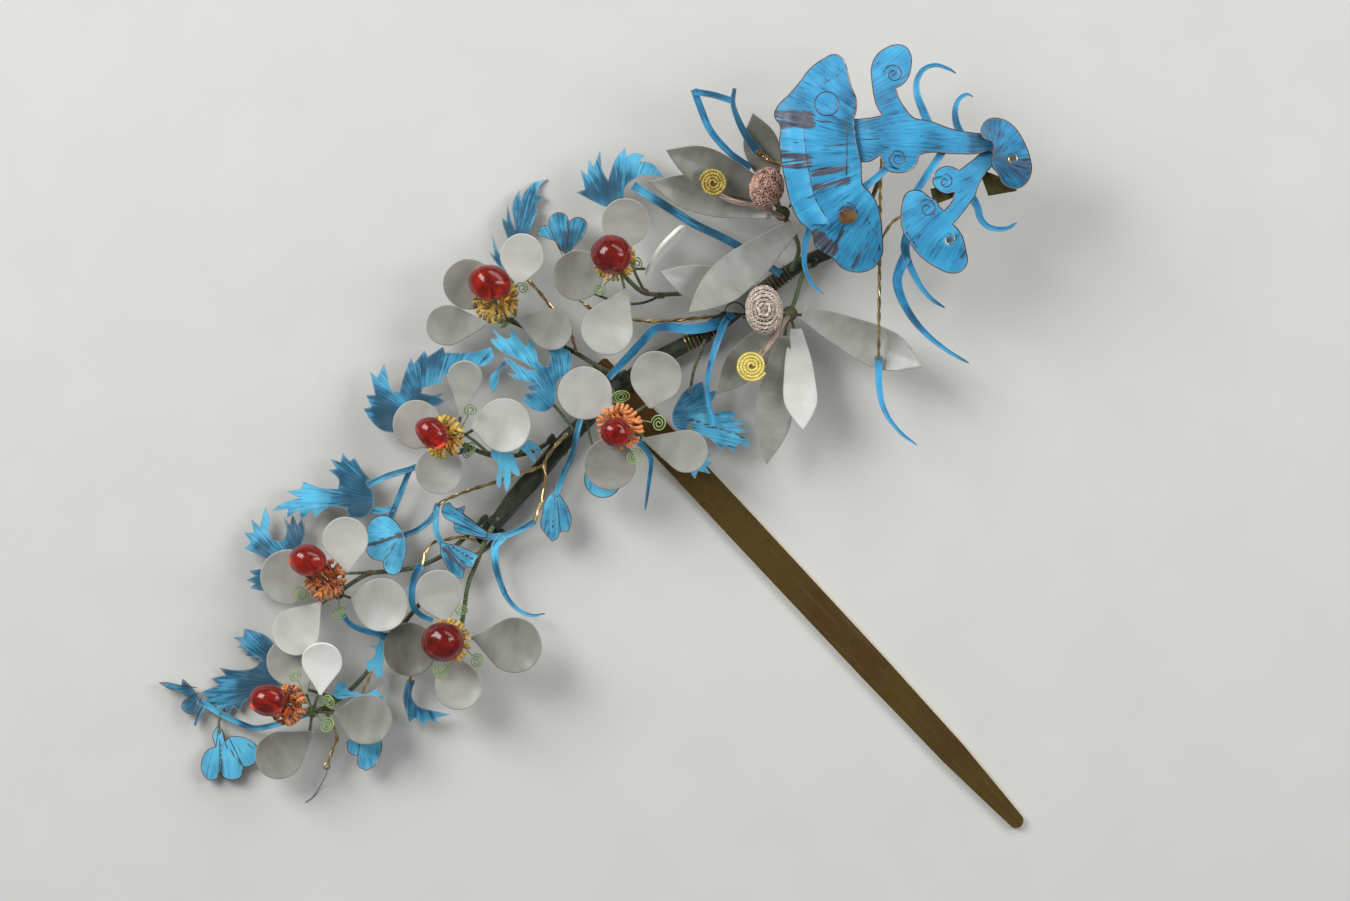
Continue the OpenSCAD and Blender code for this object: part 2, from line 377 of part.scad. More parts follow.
// Tendrils of the cloud motif: the route, then the width at its root and at its tip
cloud_tendril_rows = [
    [[[185.7, 154.2, 24.5], [184.3, 157.6, 24.8], [183.2, 160.6, 25], [183.1, 163.4, 25], [184.4, 165.7, 24.9],
      [186.8, 166.6, 24.7], [189.3, 165.9, 24.4], [190.9, 165, 24.1]], 1.9, 0.5],
    [[[192, 152.4, 24.08], [190.9, 155.5, 24.3], [190.8, 158, 24.4], [191.7, 160, 24.3], [193.2, 160.8, 24.1],
      [194.3, 160.3, 23.9]], 1.8, 0.6],
    [[[193.6, 141.2, 23.35], [195.2, 138.4, 23], [195.8, 136.2, 22.7], [197.3, 134.5, 22.4], [199.5, 134, 22.1],
      [201.5, 134.3, 21.8], [203.1, 135.3, 21.5]], 1.8, 0.7],
    [[[162.8, 136, 22.6], [161.3, 132.5, 21.1], [160.8, 129.5, 20.2], [160.9, 126.5, 19.4], [161.9, 123.9, 18.4],
      [163.2, 122.2, 17.7], [164.7, 121.2, 17.2]], 1.6, 0.5],
    [[[182.2, 135, 22.85], [180.9, 131.5, 22.2], [181, 129, 21.6], [182, 126.3, 20.8], [184, 122.6, 19.6],
      [186.3, 120, 18.6], [188.8, 118.4, 17.8]], 2.2, 0.6],
    [[[175.7, 108.8, 12.4], [175.7, 105, 12.4], [175.9, 102, 12.3], [176.5, 99, 12.1], [178, 96, 11.9],
      [180.4, 93.2, 11.6], [183.4, 91, 11.2]], 1.7, 0.5],
    [[[171.6, 141.4, 23.2], [174.6, 143.8, 23.6], [178.2, 147, 24.2]], 1.6, 1.4],
    [[[182.6, 140.8, 23], [185, 144.5, 23.7], [188.4, 149.6, 24.4]], 1.5, 1.5]
];
hanging_tendril = [[[181, 128.6, 21.5], [179.8, 126, 20.8], [179.3, 123.5, 20], [180.3, 120, 18.6],
                    [182.5, 116.2, 17], [185.6, 112.8, 15.4], [189.5, 109.8, 13.8], [193.7, 107.4, 12.4]],
                   2.3, 0.5];

// Tendrils among the blossoms: the route, then the width at its root and at its tip
middle_tendril_rows = [
    [[[146.6, 117.4, 4.8], [145.2, 116, 6], [143.6, 112, 7.4], [142.2, 107.5, 7.8], [141.4, 103, 7.8],
      [141.9, 99, 7.7], [143.3, 94.8, 7.4]], 1.7, 0.7],
    [[[144.4, 115.6, 5], [141, 114.6, 6.6], [137.5, 114.2, 7.4], [134, 114.6, 7.6], [131, 114.2, 7.4],
      [128, 111.2, 7.2], [124.6, 107.6, 7.2], [121.7, 104.4, 7.4]], 2.2, 1.4],
    [[[121.3, 100.3, 5.2], [124.5, 95, 5.6], [128.5, 90.8, 6], [130.2, 88, 6], [129.7, 83, 6], [129, 77.9, 5.8]],
     1.7, 0.5],
    [[[84.2, 67, 5.3], [82.8, 64.6, 5.2], [82.2, 61, 5], [82.6, 58.4, 5], [84.2, 56.8, 5.2], [86.4, 55.8, 5.4]],
     1.7, 0.9],
    [[[68.3, 57.2, 5.8], [69.6, 55.4, 5.8], [72, 54, 5.85], [77.1, 52.7, 5.9]], 1, 1.2]
];
lily_tendril_rows = [
    [[[150.2, 146.4, 15.4], [146, 149.3, 15.8], [142.2, 153.6, 16.4], [140.2, 158, 16.8], [138.8, 162, 17.1]],
     1.3, 1.5],
    [[[138.9, 161.5, 17.1], [142.6, 160.9, 16.9], [146.5, 159.7, 16.6]], 1.3, 1.3],
    [[[151.7, 149.4, 16.1], [150, 151.6, 16.3], [148, 155, 16.5], [146.6, 159, 16.6], [146.9, 162.2, 16.7]],
     1.9, 0.8]
];
spray_stem_rows = [
    [[[107, 75.7, 6.2], [104.5, 74.3, 6.2], [101.5, 73, 6.2], [98, 72.6, 6.15], [95, 73.2, 6.15]], 1.2, 1.4],
    [[[100.6, 72.9, 6.2], [99, 70.6, 6.2], [99, 67, 6], [100, 63.5, 5.6], [101.2, 60.6, 5.2], [103.5, 58, 4.8],
      [106.3, 56.8, 4.6], [108.9, 57.2, 4.4]], 1.9, 0.5]
];
spray_side_rows = [
    [[[87.5, 79.3, 6.15], [86.4, 76.6, 6.2], [83.4, 74, 6.25], [80, 72.7, 6.25]], 1.2, 1.2],
    [[[87.2, 78.6, 6.15], [87, 75, 6.2], [87.5, 72.6, 6.25], [88.6, 70.8, 6.25]], 1.3, 1.2]
];
far_left_rows = [
    [[[73.4, 83, 5.3], [78, 85, 5.8], [82, 86.2, 6.4], [88, 88.6, 7], [94.6, 90.4, 7.25]], 1.3, 1.1],
    [[[73.6, 78, 5.3], [76, 77.8, 5.35], [78.8, 78.2, 5.4]], 1.4, 1.1],
    [[[78, 76.4, 5.3], [79.6, 80.4, 5.6], [81.9, 86.2, 6.3]], 1.3, 1.1]
];
low_branch_rows = [
    [[[37.8, 40.6, 2], [41, 38.7, 2.2], [45, 36.4, 2.4], [49, 34.6, 2.6], [51.5, 34.2, 2.8], [56, 35.2, 3.2],
      [62.2, 37.4, 3.85]], 1.3, 1.1],
    [[[38.6, 34.7, 2], [39.4, 36.8, 2.1], [40.6, 38.9, 2.2]], 0.5, 1.1]
];
leaf_top_strip = [[[126.6, 143, 6.9], [130, 140.9, 7], [134.5, 138, 7.1], [139, 135.2, 7.2], [146, 131.8, 7.2],
                   [152, 128, 6.2], [156.2, 125.2, 4.08]], 1.8, 1.6];

// Wire stalks of leaves and buds
low_left_stalk = [[55.5, 43.6, 2.9], [61, 42, 3.1], [67.6, 40, 3.5]];
left_stalk = [[58, 66, 4.9], [64, 65.3, 4.7], [74.6, 65.4, 4.55]];
upper_left_stalk = [[82, 98.6, 6.3], [89, 95.5, 6.2], [94.5, 92, 5.9], [98.4, 88.6, 5.7]];
middle_stalk = [[109.5, 100.5, 8.1], [112, 97.5, 7.2], [114.8, 94, 5.55]];
fingers_stalk = [[105.4, 91, 7.2], [104.4, 90.2, 6.7], [103.6, 89, 6.12]];
top_left_stalk = [[102.6, 132.6, 3.9], [102.2, 127, 4.6], [102.6, 121, 5], [103.2, 115.3, 5.15]];
top_stalk = [[123.6, 139.4, 7.2], [124.4, 133, 7.1], [126.8, 126, 7], [129.3, 121, 7.18]];
right_stalk = [[138, 101.6, 6.3], [138.8, 106, 6], [140.3, 110, 5.6], [141.6, 113.8, 5.25]];
tip_stalk = [[139.4, 89.4, 7.3], [137.6, 92, 6.8], [138, 95, 6.3]];
blossom_low_stalk = [[43.6, 33, 1.9], [43.4, 35, 2], [43.8, 37.3, 2.3]];
bud_drop_stalk = [[[110.9, 80.4, 6.2], [112.6, 85, 6.8], [114.6, 89.6, 7.2], [115.6, 94.4, 7.2],
                   [116.6, 97.2, 6.4], [118.4, 98.2, 5.3]], 1.3, 1.1];
blossom_top_stalk = [[113.2, 131, 6.3], [113.4, 127, 6.4], [117, 122.5, 6.5], [123, 119.8, 6.4],
                     [128, 119.4, 6.3], [132.9, 121.2, 6.36]];
bud_under_stalk = [[72.4, 30.8, 4.7], [70.5, 34.5, 4.5], [67, 37.4, 4.1], [63.6, 38, 3.85]];
disc_under_stalk = [[120.4, 86, 9.7], [118.4, 91, 7.6], [117.2, 96, 5.25]];
blue_disc = [120.6, 84.2, 9.4, 3.7];

// Small helpers

function heading(from, to) = atan2(to[1] - from[1], to[0] - from[0]);
function flat_distance(from, to) = norm([to[0] - from[0], to[1] - from[1]]);
function unit(v) = v / norm(v);

// Height of the top face of a domed plate over a sheet point
function dome_top(dome, p) =
    dome[2] - dome[3] + sqrt(dome[3] * dome[3] - pow(p[0] - dome[0], 2) - pow(p[1] - dome[1], 2));

// Turns +Z to the direction from one point to another
module aimed(from, to) {
    step = to - from;
    translate(from)
        rotate([0, acos(step[2] / norm(step)), atan2(step[1], step[0])])
            children();
}

// Lays a flat shape with its X axis on a heading, its far end raised and its plane rolled
module laid(base, height, turn, rise, roll) {
    translate([base[0], base[1], height])
        rotate([0, 0, turn])
            rotate([0, -rise, 0])
                rotate([roll, 0, 0])
                    children();
}

// Round-ended drop with its point at the origin
function drop_outline(length, width, steps = 18) =
    let (r = width / 2, c = length - r, open = 180 - acos(r / c))
    concat([[0, 0]], [for (i = [0:steps]) let (a = open * (2 * i / steps - 1)) [c + r * cos(a), r * sin(a)]]);

// Lance-shaped petal with a narrow base at the origin and a pointed tip
function lance_half(s, widest) =
    s < widest ? lily_neck + (1 - lily_neck) * sin(90 * s / widest) : cos(90 * (s - widest) / (1 - widest));
function lance_outline(length, width, widest, steps = 9) = concat(
    [for (i = [0:steps - 1]) [length * i / steps, -width / 2 * lance_half(i / steps, widest)]],
    [[length, 0]],
    [for (i = [steps - 1:-1:0]) [length * i / steps, width / 2 * lance_half(i / steps, widest)]]
);

// A plate cut from a shallow bowl, hollow side up, lowest at a part of its length
module dished(outline, length, lowest, radius, thickness) {
    difference() {
        intersection() {
            translate([0, 0, -1]) linear_extrude(12) polygon(outline);
            translate([length * lowest, 0, radius + thickness])
                rotate([90, 0, 0]) sphere(r = radius + thickness, $fn = sphere_steps);
        }
        translate([length * lowest, 0, radius + thickness])
            rotate([90, 0, 0]) sphere(r = radius, $fn = sphere_steps);
    }
}

// A plate cut from a shallow dome, where it lies on the sheet
module domed(outline, dome) {
    difference() {
        intersection() {
            translate([0, 0, dome[2] - 14]) linear_extrude(16) polygon(outline);
            translate([dome[0], dome[1], dome[2] - dome[3]])
                rotate([90, 0, 0]) sphere(r = dome[3], $fn = 2 * sphere_steps);
        }
        translate([dome[0], dome[1], dome[2] - dome[3]])
            rotate([90, 0, 0]) sphere(r = dome[3] - cloud_thickness, $fn = 2 * sphere_steps);
    }
}

// A flat leaf whose outline is given on the sheet, raised towards its heading
module leaf_plate(outline, base, height, turn, rise, thickness = leaf_thickness) {
    local = [for (p = outline)
        let (u = (p[0] - base[0]) * cos(turn) + (p[1] - base[1]) * sin(turn),
             v = (p[1] - base[1]) * cos(turn) - (p[0] - base[0]) * sin(turn))
        [u / cos(rise), v]];
    laid(base, height, turn, rise, 0) linear_extrude(thickness) polygon(local);
}

// Sweeps a section along a route; half_w and half_h give the section at each of the route's points
function route_direction(route, i) =
    unit(route[min(i + 1, len(route) - 1)] - route[max(i - 1, 0)]);
function route_side(route, i) = unit(cross(route_direction(route, i), [0, 0, 1]));
function section_ring(route, i, w, h, sides) =
    let (side = route_side(route, i), up = cross(side, route_direction(route, i)))
    [for (k = [0:sides - 1]) let (a = 360 * (k + 0.5) / sides) route[i] + side * w * cos(a) + up * h * sin(a)];
module swept(route, half_w, half_h, sides) {
    n = len(route);
    points = [for (i = [0:n - 1]) each section_ring(route, i, half_w[i], half_h[i], sides)];
    walls = [for (i = [0:n - 2]) for (k = [0:sides - 1])
        let (a = i * sides + k, b = i * sides + (k + 1) % sides, c = a + sides, d = b + sides)
        each [[a, b, d], [a, d, c]]];
    start_cap = [for (k = [sides - 1:-1:0]) k];
    end_cap = [for (k = [0:sides - 1]) (n - 1) * sides + k];
    polyhedron(points = points, faces = concat([start_cap], walls, [end_cap]));
}
module wire(route, radius, sides = 6) {
    swept(route, [for (p = route) radius], [for (p = route) radius], sides);
}
// A flat strip that tapers evenly from its root to its tip
module strip(row) {
    route = row[0];
    n = len(route);
    corner = 1 / sqrt(2);
    swept(route,
          [for (i = [0:n - 1]) (row[1] + (row[2] - row[1]) * i / (n - 1)) / 2 / corner],
          [for (i = [0:n - 1]) tendril_thickness / 2 / corner],
          4);
}
module strips(rows) {
    for (row = rows) strip(row);
}
// A rod between two points, as one small mesh
module rod(from, to, radius) {
    hull() {
        translate(from) sphere(r = radius, $fn = 6);
        translate(to) sphere(r = radius, $fn = 6);
    }
}
module on_sheet() {
    translate([-sheet_mid[0], -sheet_mid[1], 0]) children();
}

// Brass blade and stem

module blade() {
    top = [118.6, 106.6];
    turn = -47;
    tip = 1.5;
    half = blade_width / 2;
    color(brass) on_sheet()
        translate([top[0], top[1], 0]) rotate([0, 0, turn]) linear_extrude(blade_thickness) {
            polygon([
                [0, -half + 0.6], [0.6, -half], [0.35 * blade_length, -half], [0.66 * blade_length, -0.95 * half],
                [0.84 * blade_length, -0.83 * half], [0.94 * blade_length, -0.6 * half],
                [blade_length - tip, -tip], [blade_length - tip, tip], [0.94 * blade_length, 0.6 * half],
                [0.84 * blade_length, 0.83 * half], [0.66 * blade_length, 0.95 * half],
                [0.35 * blade_length, half], [0.6, half], [0, half - 0.6]
            ]);
            translate([blade_length - tip, 0]) circle(r = tip, $fn = 48);
        }
}

module main_stem() {
    route = [for (s = stem_rows) [s[0], s[1], s[2]]];
    radii = [for (s = stem_rows) s[3]];
    color(silk_green) on_sheet() swept(route, radii, radii, 10);
}

// Twigs with a hub, arms under the petals and a pin for the bead or the knot

function petal_length(p) = flat_distance([p[1], p[2]], [p[3], p[4]]) / cos(p[7]);
function arm_end(p, dish, thickness, reach, lowest) =
    let (from = [p[1], p[2]], to = [p[3], p[4]], step = unit(to - from) * reach,
         sag = pow(petal_length(p) * lowest - reach, 2) / 2 / (dish + thickness))
    [from[0] + step[0], from[1] + step[1],
     p[6] + reach * sin(p[7]) + sag * cos(p[8]) - seat_gap - stalk_radius];
module hub(at) {
    hull() {
        translate([at[0], at[1], at[2] - 2.2]) cylinder(r = 0.7, h = 0.4, $fn = 8);
        translate([at[0], at[1], at[2] - 0.5]) cylinder(r = 1.3, h = 0.5, $fn = 8);
    }
}
module twigs() {
    color(silk_green) on_sheet() {
        for (route = twig_routes) wire(route, twig_radius);
        for (i = [0:6]) {
            b = blossoms[i];
            pin_end = bead_of(b) + unit(bead_of(b) - hub_of(b)) * b[7] * 0.2;
            hub(hub_of(b));
            rod(hub_of(b), pin_end, pin_radius);
            for (p = petal_rows)
                if (p[0] == i + 1)
                    rod(hub_of(b) - [0, 0, 0.6], arm_end(p, petal_dish, petal_thickness, 1.3, 0.45), stalk_radius);
        }
        for (i = [0:1]) {
            l = lilies[i];
            hub(hub_of(l));
            rod(hub_of(l), knot_of(l) - unit(knot_of(l) - hub_of(l)) * 1.2, pin_radius);
            for (p = lily_rows)
                if (p[0] == i + 1)
                    rod(hub_of(l) - [0, 0, 1.4], arm_end(p, lily_dish, petal_thickness, 1.3, 0.4), stalk_radius);
        }
    }
}
module gilt_wires() {
    color(gilt) on_sheet() for (route = gilt_routes) wire(route, gilt_radius);
}

// Blossoms

module petals(i) {
    color(nacre) on_sheet()
        for (p = petal_rows)
            if (p[0] == i) {
                length = petal_length(p);
                laid([p[1], p[2]], p[6], heading([p[1], p[2]], [p[3], p[4]]), p[7], p[8])
                    dished(drop_outline(length, p[5]), length, 0.45, petal_dish, petal_thickness);
            }
}
module oval(length, width) {
    rotate([0, 90, 0]) rotate_extrude($fn = 48)
        polygon([for (a = [-90:15:90]) [width / 2 * cos(a), length / 2 * sin(a)]]);
}
module bead(i) {
    b = blossoms[i - 1];
    color(ruby) on_sheet() difference() {
        translate(bead_of(b)) rotate([0, 0, b[8]]) oval(b[6], b[7]);
        aimed(hub_of(b), bead_of(b))
            cylinder(r = bead_bore, h = norm(bead_of(b) - hub_of(b)) + b[7] * 0.3, $fn = 32);
    }
}
module ruff(i) {
    b = blossoms[i - 1];
    pin = bead_of(b) - hub_of(b);
    seat = hub_of(b) + pin * b[11];
    steps = 4 * ruff_loops;
    color(b[10] ? yellow_thread : orange_thread) on_sheet() difference() {
        aimed(seat, seat + [pin[0] * b[12], pin[1] * b[12], pin[2]]) difference() {
            linear_extrude(ruff_height)
                polygon([for (k = [0:steps - 1])
                    let (a = 360 * k / steps, r = b[9] - ruff_notch * (k % 4 == 0 ? 1 : k % 4 == 2 ? 0 : 0.3))
                    [r * cos(a), r * sin(a)]]);
            translate([0, 0, ruff_floor])
                cylinder(r1 = b[9] - 2.6, r2 = b[9] - 1.2, h = ruff_height, $fn = 32);
        }
        aimed(hub_of(b), bead_of(b)) cylinder(r = bead_bore, h = norm(pin), $fn = 12);
    }
}
// A flat wire coil whose tail runs down to the rim of the hub
module coil(b, c) {
    turn = heading(b, [c[1], c[2]]);
    base = [b[0] + cos(turn), b[1] + sin(turn), b[2] + seat_gap];
    reach = norm([c[1], c[2], c[3]] - base);
    rise = asin((c[3] - base[2]) / reach);
    steps = 12;
    inner = 1.5 * coil_wire;
    growth = (c[4] - coil_wire / 2 - inner) / (coil_turns * 360);
    spiral = [for (k = [0:steps * coil_turns])
        let (a = 180 - coil_turns * 360 + 360 * k / steps, r = inner + growth * 360 * k / steps)
        [a, r]];
    last = len(spiral) - 1;
    half = coil_wire / 2;
    outer_side = [for (j = [0:last - 1]) let (s = spiral[j])
        [reach + (s[1] + half) * cos(s[0]), (s[1] + half) * sin(s[0])]];
    tail = [[reach - spiral[last][1] - half, half], [0, half], [0, -half], [reach - spiral[last][1] + half, -half]];
    inner_side = [for (j = [last:-1:0]) let (s = spiral[j])
        [reach + (s[1] - half) * cos(s[0]), (s[1] - half) * sin(s[0])]];
    laid(base, base[2], turn, rise, 0)
        linear_extrude(coil_wire) polygon(concat(outer_side, tail, inner_side));
}
module coils(i) {
    color(pale_green) on_sheet() for (c = coil_rows) if (c[0] == i) coil(blossoms[i - 1], c);
}

// Lilies

module lily_petals(i) {
    color(nacre) on_sheet()
        for (p = lily_rows)
            if (p[0] == i) {
                length = petal_length(p);
                laid([p[1], p[2]], p[6], heading([p[1], p[2]], [p[3], p[4]]), p[7], p[8])
                    dished(lance_outline(length, p[5], p[9]), length, 0.4, lily_dish, petal_thickness);
            }
}
module lily_knot(i) {
    l = lilies[i - 1];
    color(pink_thread) on_sheet() difference() {
        translate(knot_of(l)) rotate([0, 0, l[8]]) oval(l[6], l[7]);
        aimed(hub_of(l), knot_of(l)) cylinder(r = bead_bore, h = norm(knot_of(l) - hub_of(l)), $fn = 32);
    }
}
module lily_disc(i) {
    l = lilies[i - 1];
    color(gold_thread) on_sheet() {
        translate(disc_of(l) - [0, 0, disc_thickness / 2]) cylinder(r = l[12], h = disc_thickness, $fn = 64);
        wire(disc_stalks[i - 1], 0.6);
    }
}

// Blue leaves, sprays and buds

module leaf_low_left() {
    color(feather_blue) on_sheet() {
        leaf_plate(leaf_low_left_line, [56.5, 43.5], 2.55, 187.5, -8.5);
        wire(low_left_stalk, stalk_radius);
    }
}
module leaf_left() {
    color(feather_blue) on_sheet() {
        leaf_plate(leaf_left_line, [58.5, 65], 4.6, 120, -8);
        wire(left_stalk, stalk_radius);
    }
}
module leaf_far_left() {
    color(feather_blue) on_sheet() {
        leaf_plate(leaf_far_left_line, [74.5, 80], 5, 180, -3);
        strips(far_left_rows);
    }
}
module leaf_upper_left() {
    color(feather_blue) on_sheet() {
        leaf_plate(leaf_upper_left_line, [83, 99], 6, 150, -3);
        wire(upper_left_stalk, stalk_radius);
    }
}
module leaf_middle() {
    color(feather_blue) on_sheet() {
        leaf_plate(leaf_middle_line, [111, 101], 7.8, 135, 0);
        leaf_plate(leaf_drop_line, [100, 105], 7.7, 90, 0);
        wire(middle_stalk, stalk_radius);
    }
}
module leaf_short() {
    color(feather_blue) on_sheet() {
        leaf_plate(leaf_short_line, [100, 91], 7.6, 270, 0);
        leaf_plate(leaf_fingers_line, [104, 91], 7, -30, 0);
        wire(fingers_stalk, stalk_radius);
    }
}
module leaf_top_left() {
    color(feather_blue) on_sheet() {
        leaf_plate(leaf_top_left_line, [101.5, 131], 4.15, 63, -15);
        leaf_plate(leaf_sprig_line, [101.5, 126], 4.6, 120, 0);
        wire(top_left_stalk, stalk_radius);
    }
}
module leaf_top() {
    color(feather_blue) on_sheet() {
        leaf_plate(leaf_top_line, [123, 138], 7, 95, -3);
        wire(top_stalk, stalk_radius);
        strip(leaf_top_strip);
    }
}
module leaf_right() {
    color(feather_blue) on_sheet() {
        leaf_plate(leaf_right_line, [134.4, 96], 6.2, 0, -4);
        leaf_plate(leaf_tip_line, [139.5, 88], 7, 0, 0);
        wire(right_stalk, stalk_radius);
        wire(tip_stalk, stalk_radius);
    }
}
module leaf_low() {
    color(feather_blue) on_sheet() {
        leaf_plate(leaf_comb_line, [76, 50], 4.85, 0, 0);
        leaf_plate(leaf_bar_line, [70, 41], 5.35, 0, 0);
        leaf_plate(leaf_claw_line, [82, 43], 3.35, 0, 0);
    }
}
module spray_low() {
    color(feather_blue) on_sheet() {
        leaf_plate(blossom_low_line, [44, 34], 1.6, 0, 0);
        leaf_plate(bud_low_line, [38, 40], 1.75, 0, 0);
        strips(low_branch_rows);
        wire(blossom_low_stalk, stalk_radius);
    }
}
module spray_side() {
    color(feather_blue) on_sheet() {
        leaf_plate(blossom_side_line, [78, 72], 6, 0, 0);
        leaf_plate(blossom_fan_line, [90, 69], 6, 0, 0);
        strips(spray_side_rows);
    }
}
module spray_stem() {
    color(feather_blue) on_sheet() {
        leaf_plate(leaf_wedge_line, [94, 75], 5.95, 0, 0, 0.45);
        strips(spray_stem_rows);
    }
}
module buds() {
    color(feather_blue) on_sheet() {
        leaf_plate(bud_drop_line, [111, 77], 5.9, 0, 0);
        strip(bud_drop_stalk);
        leaf_plate(blossom_top_line, [113, 133], 6, 0, 0);
        wire(blossom_top_stalk, 0.3);
        leaf_plate(bud_under_line, [72.5, 30], 4.4, 0, 0);
        wire(bud_under_stalk, 0.3);
        translate([blue_disc[0], blue_disc[1], blue_disc[2]])
            cylinder(r = blue_disc[3], h = leaf_thickness, $fn = 48);
        wire(disc_under_stalk, 0.3);
    }
}
module middle_tendrils() {
    color(feather_blue) on_sheet() strips(middle_tendril_rows);
}
module lily_tendrils() {
    color(feather_blue) on_sheet() strips(lily_tendril_rows);
}

// Cloud motif

module cloud_fan() {
    color(feather_blue) on_sheet() domed(fan_line, fan_dome);
}
module cloud_branch() {
    color(feather_blue) on_sheet() domed(branch_line, branch_dome);
}
module cloud_head() {
    color(feather_blue) on_sheet() domed(head_line, head_dome);
}
module cloud_cap() {
    color(feather_blue) on_sheet() domed(cap_line, cap_dome);
}
module cloud_tendrils() {
    color(feather_blue) on_sheet() {
        strips(cloud_tendril_rows);
        strip(hanging_tendril);
        leaf_plate(backing_line, [198, 143], 22.42, 0, 0);
        leaf_plate(backing_low_line, [188, 141], 23.15, 0, 0);
    }
}

blade();
main_stem();
twigs();
gilt_wires();
for (i = [1:7]) petals(i);
for (i = [1:7]) bead(i);
for (i = [1:7]) ruff(i);
for (i = [1:7]) coils(i);
for (i = [1:2]) lily_petals(i);
for (i = [1:2]) lily_knot(i);
for (i = [1:2]) lily_disc(i);
leaf_low_left();
leaf_left();
leaf_far_left();
leaf_upper_left();
leaf_middle();
leaf_short();
leaf_top_left();
leaf_top();
leaf_right();
leaf_low();
spray_low();
spray_side();
spray_stem();
buds();
middle_tendrils();
lily_tendrils();
cloud_fan();
cloud_branch();
cloud_head();
cloud_cap();
cloud_tendrils();
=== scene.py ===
"""Flower hair ornament: a brass hair blade that carries wired shell blossoms, feather leaves and a cloud plate."""
import math
import random

import bmesh
import bpy
from mathutils import Matrix, Vector, noise
from mathutils.bvhtree import BVHTree
from mathutils.geometry import delaunay_2d_cdt
from mathutils.kdtree import KDTree


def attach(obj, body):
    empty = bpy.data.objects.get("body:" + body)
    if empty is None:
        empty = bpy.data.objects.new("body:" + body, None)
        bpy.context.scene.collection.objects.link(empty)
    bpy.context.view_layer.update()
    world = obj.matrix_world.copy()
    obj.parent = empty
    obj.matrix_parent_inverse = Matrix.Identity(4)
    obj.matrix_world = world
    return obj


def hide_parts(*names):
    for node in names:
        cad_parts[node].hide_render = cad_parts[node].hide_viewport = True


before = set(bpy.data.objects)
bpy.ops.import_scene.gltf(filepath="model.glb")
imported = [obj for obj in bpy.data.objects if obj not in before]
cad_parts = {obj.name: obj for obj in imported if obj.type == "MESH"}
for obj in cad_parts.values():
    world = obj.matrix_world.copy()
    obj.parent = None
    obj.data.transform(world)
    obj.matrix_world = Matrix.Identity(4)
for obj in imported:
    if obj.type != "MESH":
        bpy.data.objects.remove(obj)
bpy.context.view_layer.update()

bl_info = {
    "name": "Flower Hair Ornament",
    "version": (1, 0, 0),
    "blender": (4, 5, 0),
    "location": "3D View > Sidebar > Ornament",
    "description": "Dresses the packed hair ornament with shell, feather, thread, glass and brass",
    "category": "Object",
}

MIDDLE = Vector((118.65, 92.374, 0))
UP = Vector((0, 0, 1))

# Places are millimetres on the layout sheet, X to the right, Y up the sheet and Z over the surface.
# Blossoms: hub, bead, bead length, width and spin, ruff radius, yellow, place along the pin, lean,
# how pale the ruff's thread is and how pale the coils' wire is; both paleness values hold painted light and shade as
# well as the thread's own tone
BLOSSOMS = [
    ((62.3, 37.6, 6.5), (53.7, 40, 14.4), 7.8, 6.5, 0, 4.7, False, 0.49, 0.5, -0.05, 0.9),
    ((67.5, 61.3, 8.5), (61.6, 68, 16.6), 7.8, 6.5, -10, 4.7, False, 0.38, 0.2, -0.15, 0.3),
    ((91, 52.2, 8.5), (88.7, 51.7, 17), 8.7, 8.2, 0, 5, True, 0.4, 1, 0.15, 0.6),
    ((91, 91.8, 11), (86.6, 93.4, 19.4), 7.4, 5.8, -40, 4.9, True, 0.44, 0.6, 0.2, 0.1),
    ((100.2, 116.5, 9), (98, 123.4, 18.2), 8.8, 7.3, -15, 5.2, True, 0.42, 0.55, -0.2, 0.2),
    ((123.9, 126.2, 11.5), (122.3, 129, 20.2), 8.2, 8, 0, 4.8, True, 0.45, 1, 0, 0.3),
    ((124.8, 96.3, 12), (123.3, 93.5, 20.6), 6.6, 6, -20, 5.2, False, 0.46, 0.8, 0.7, 0.8),
]
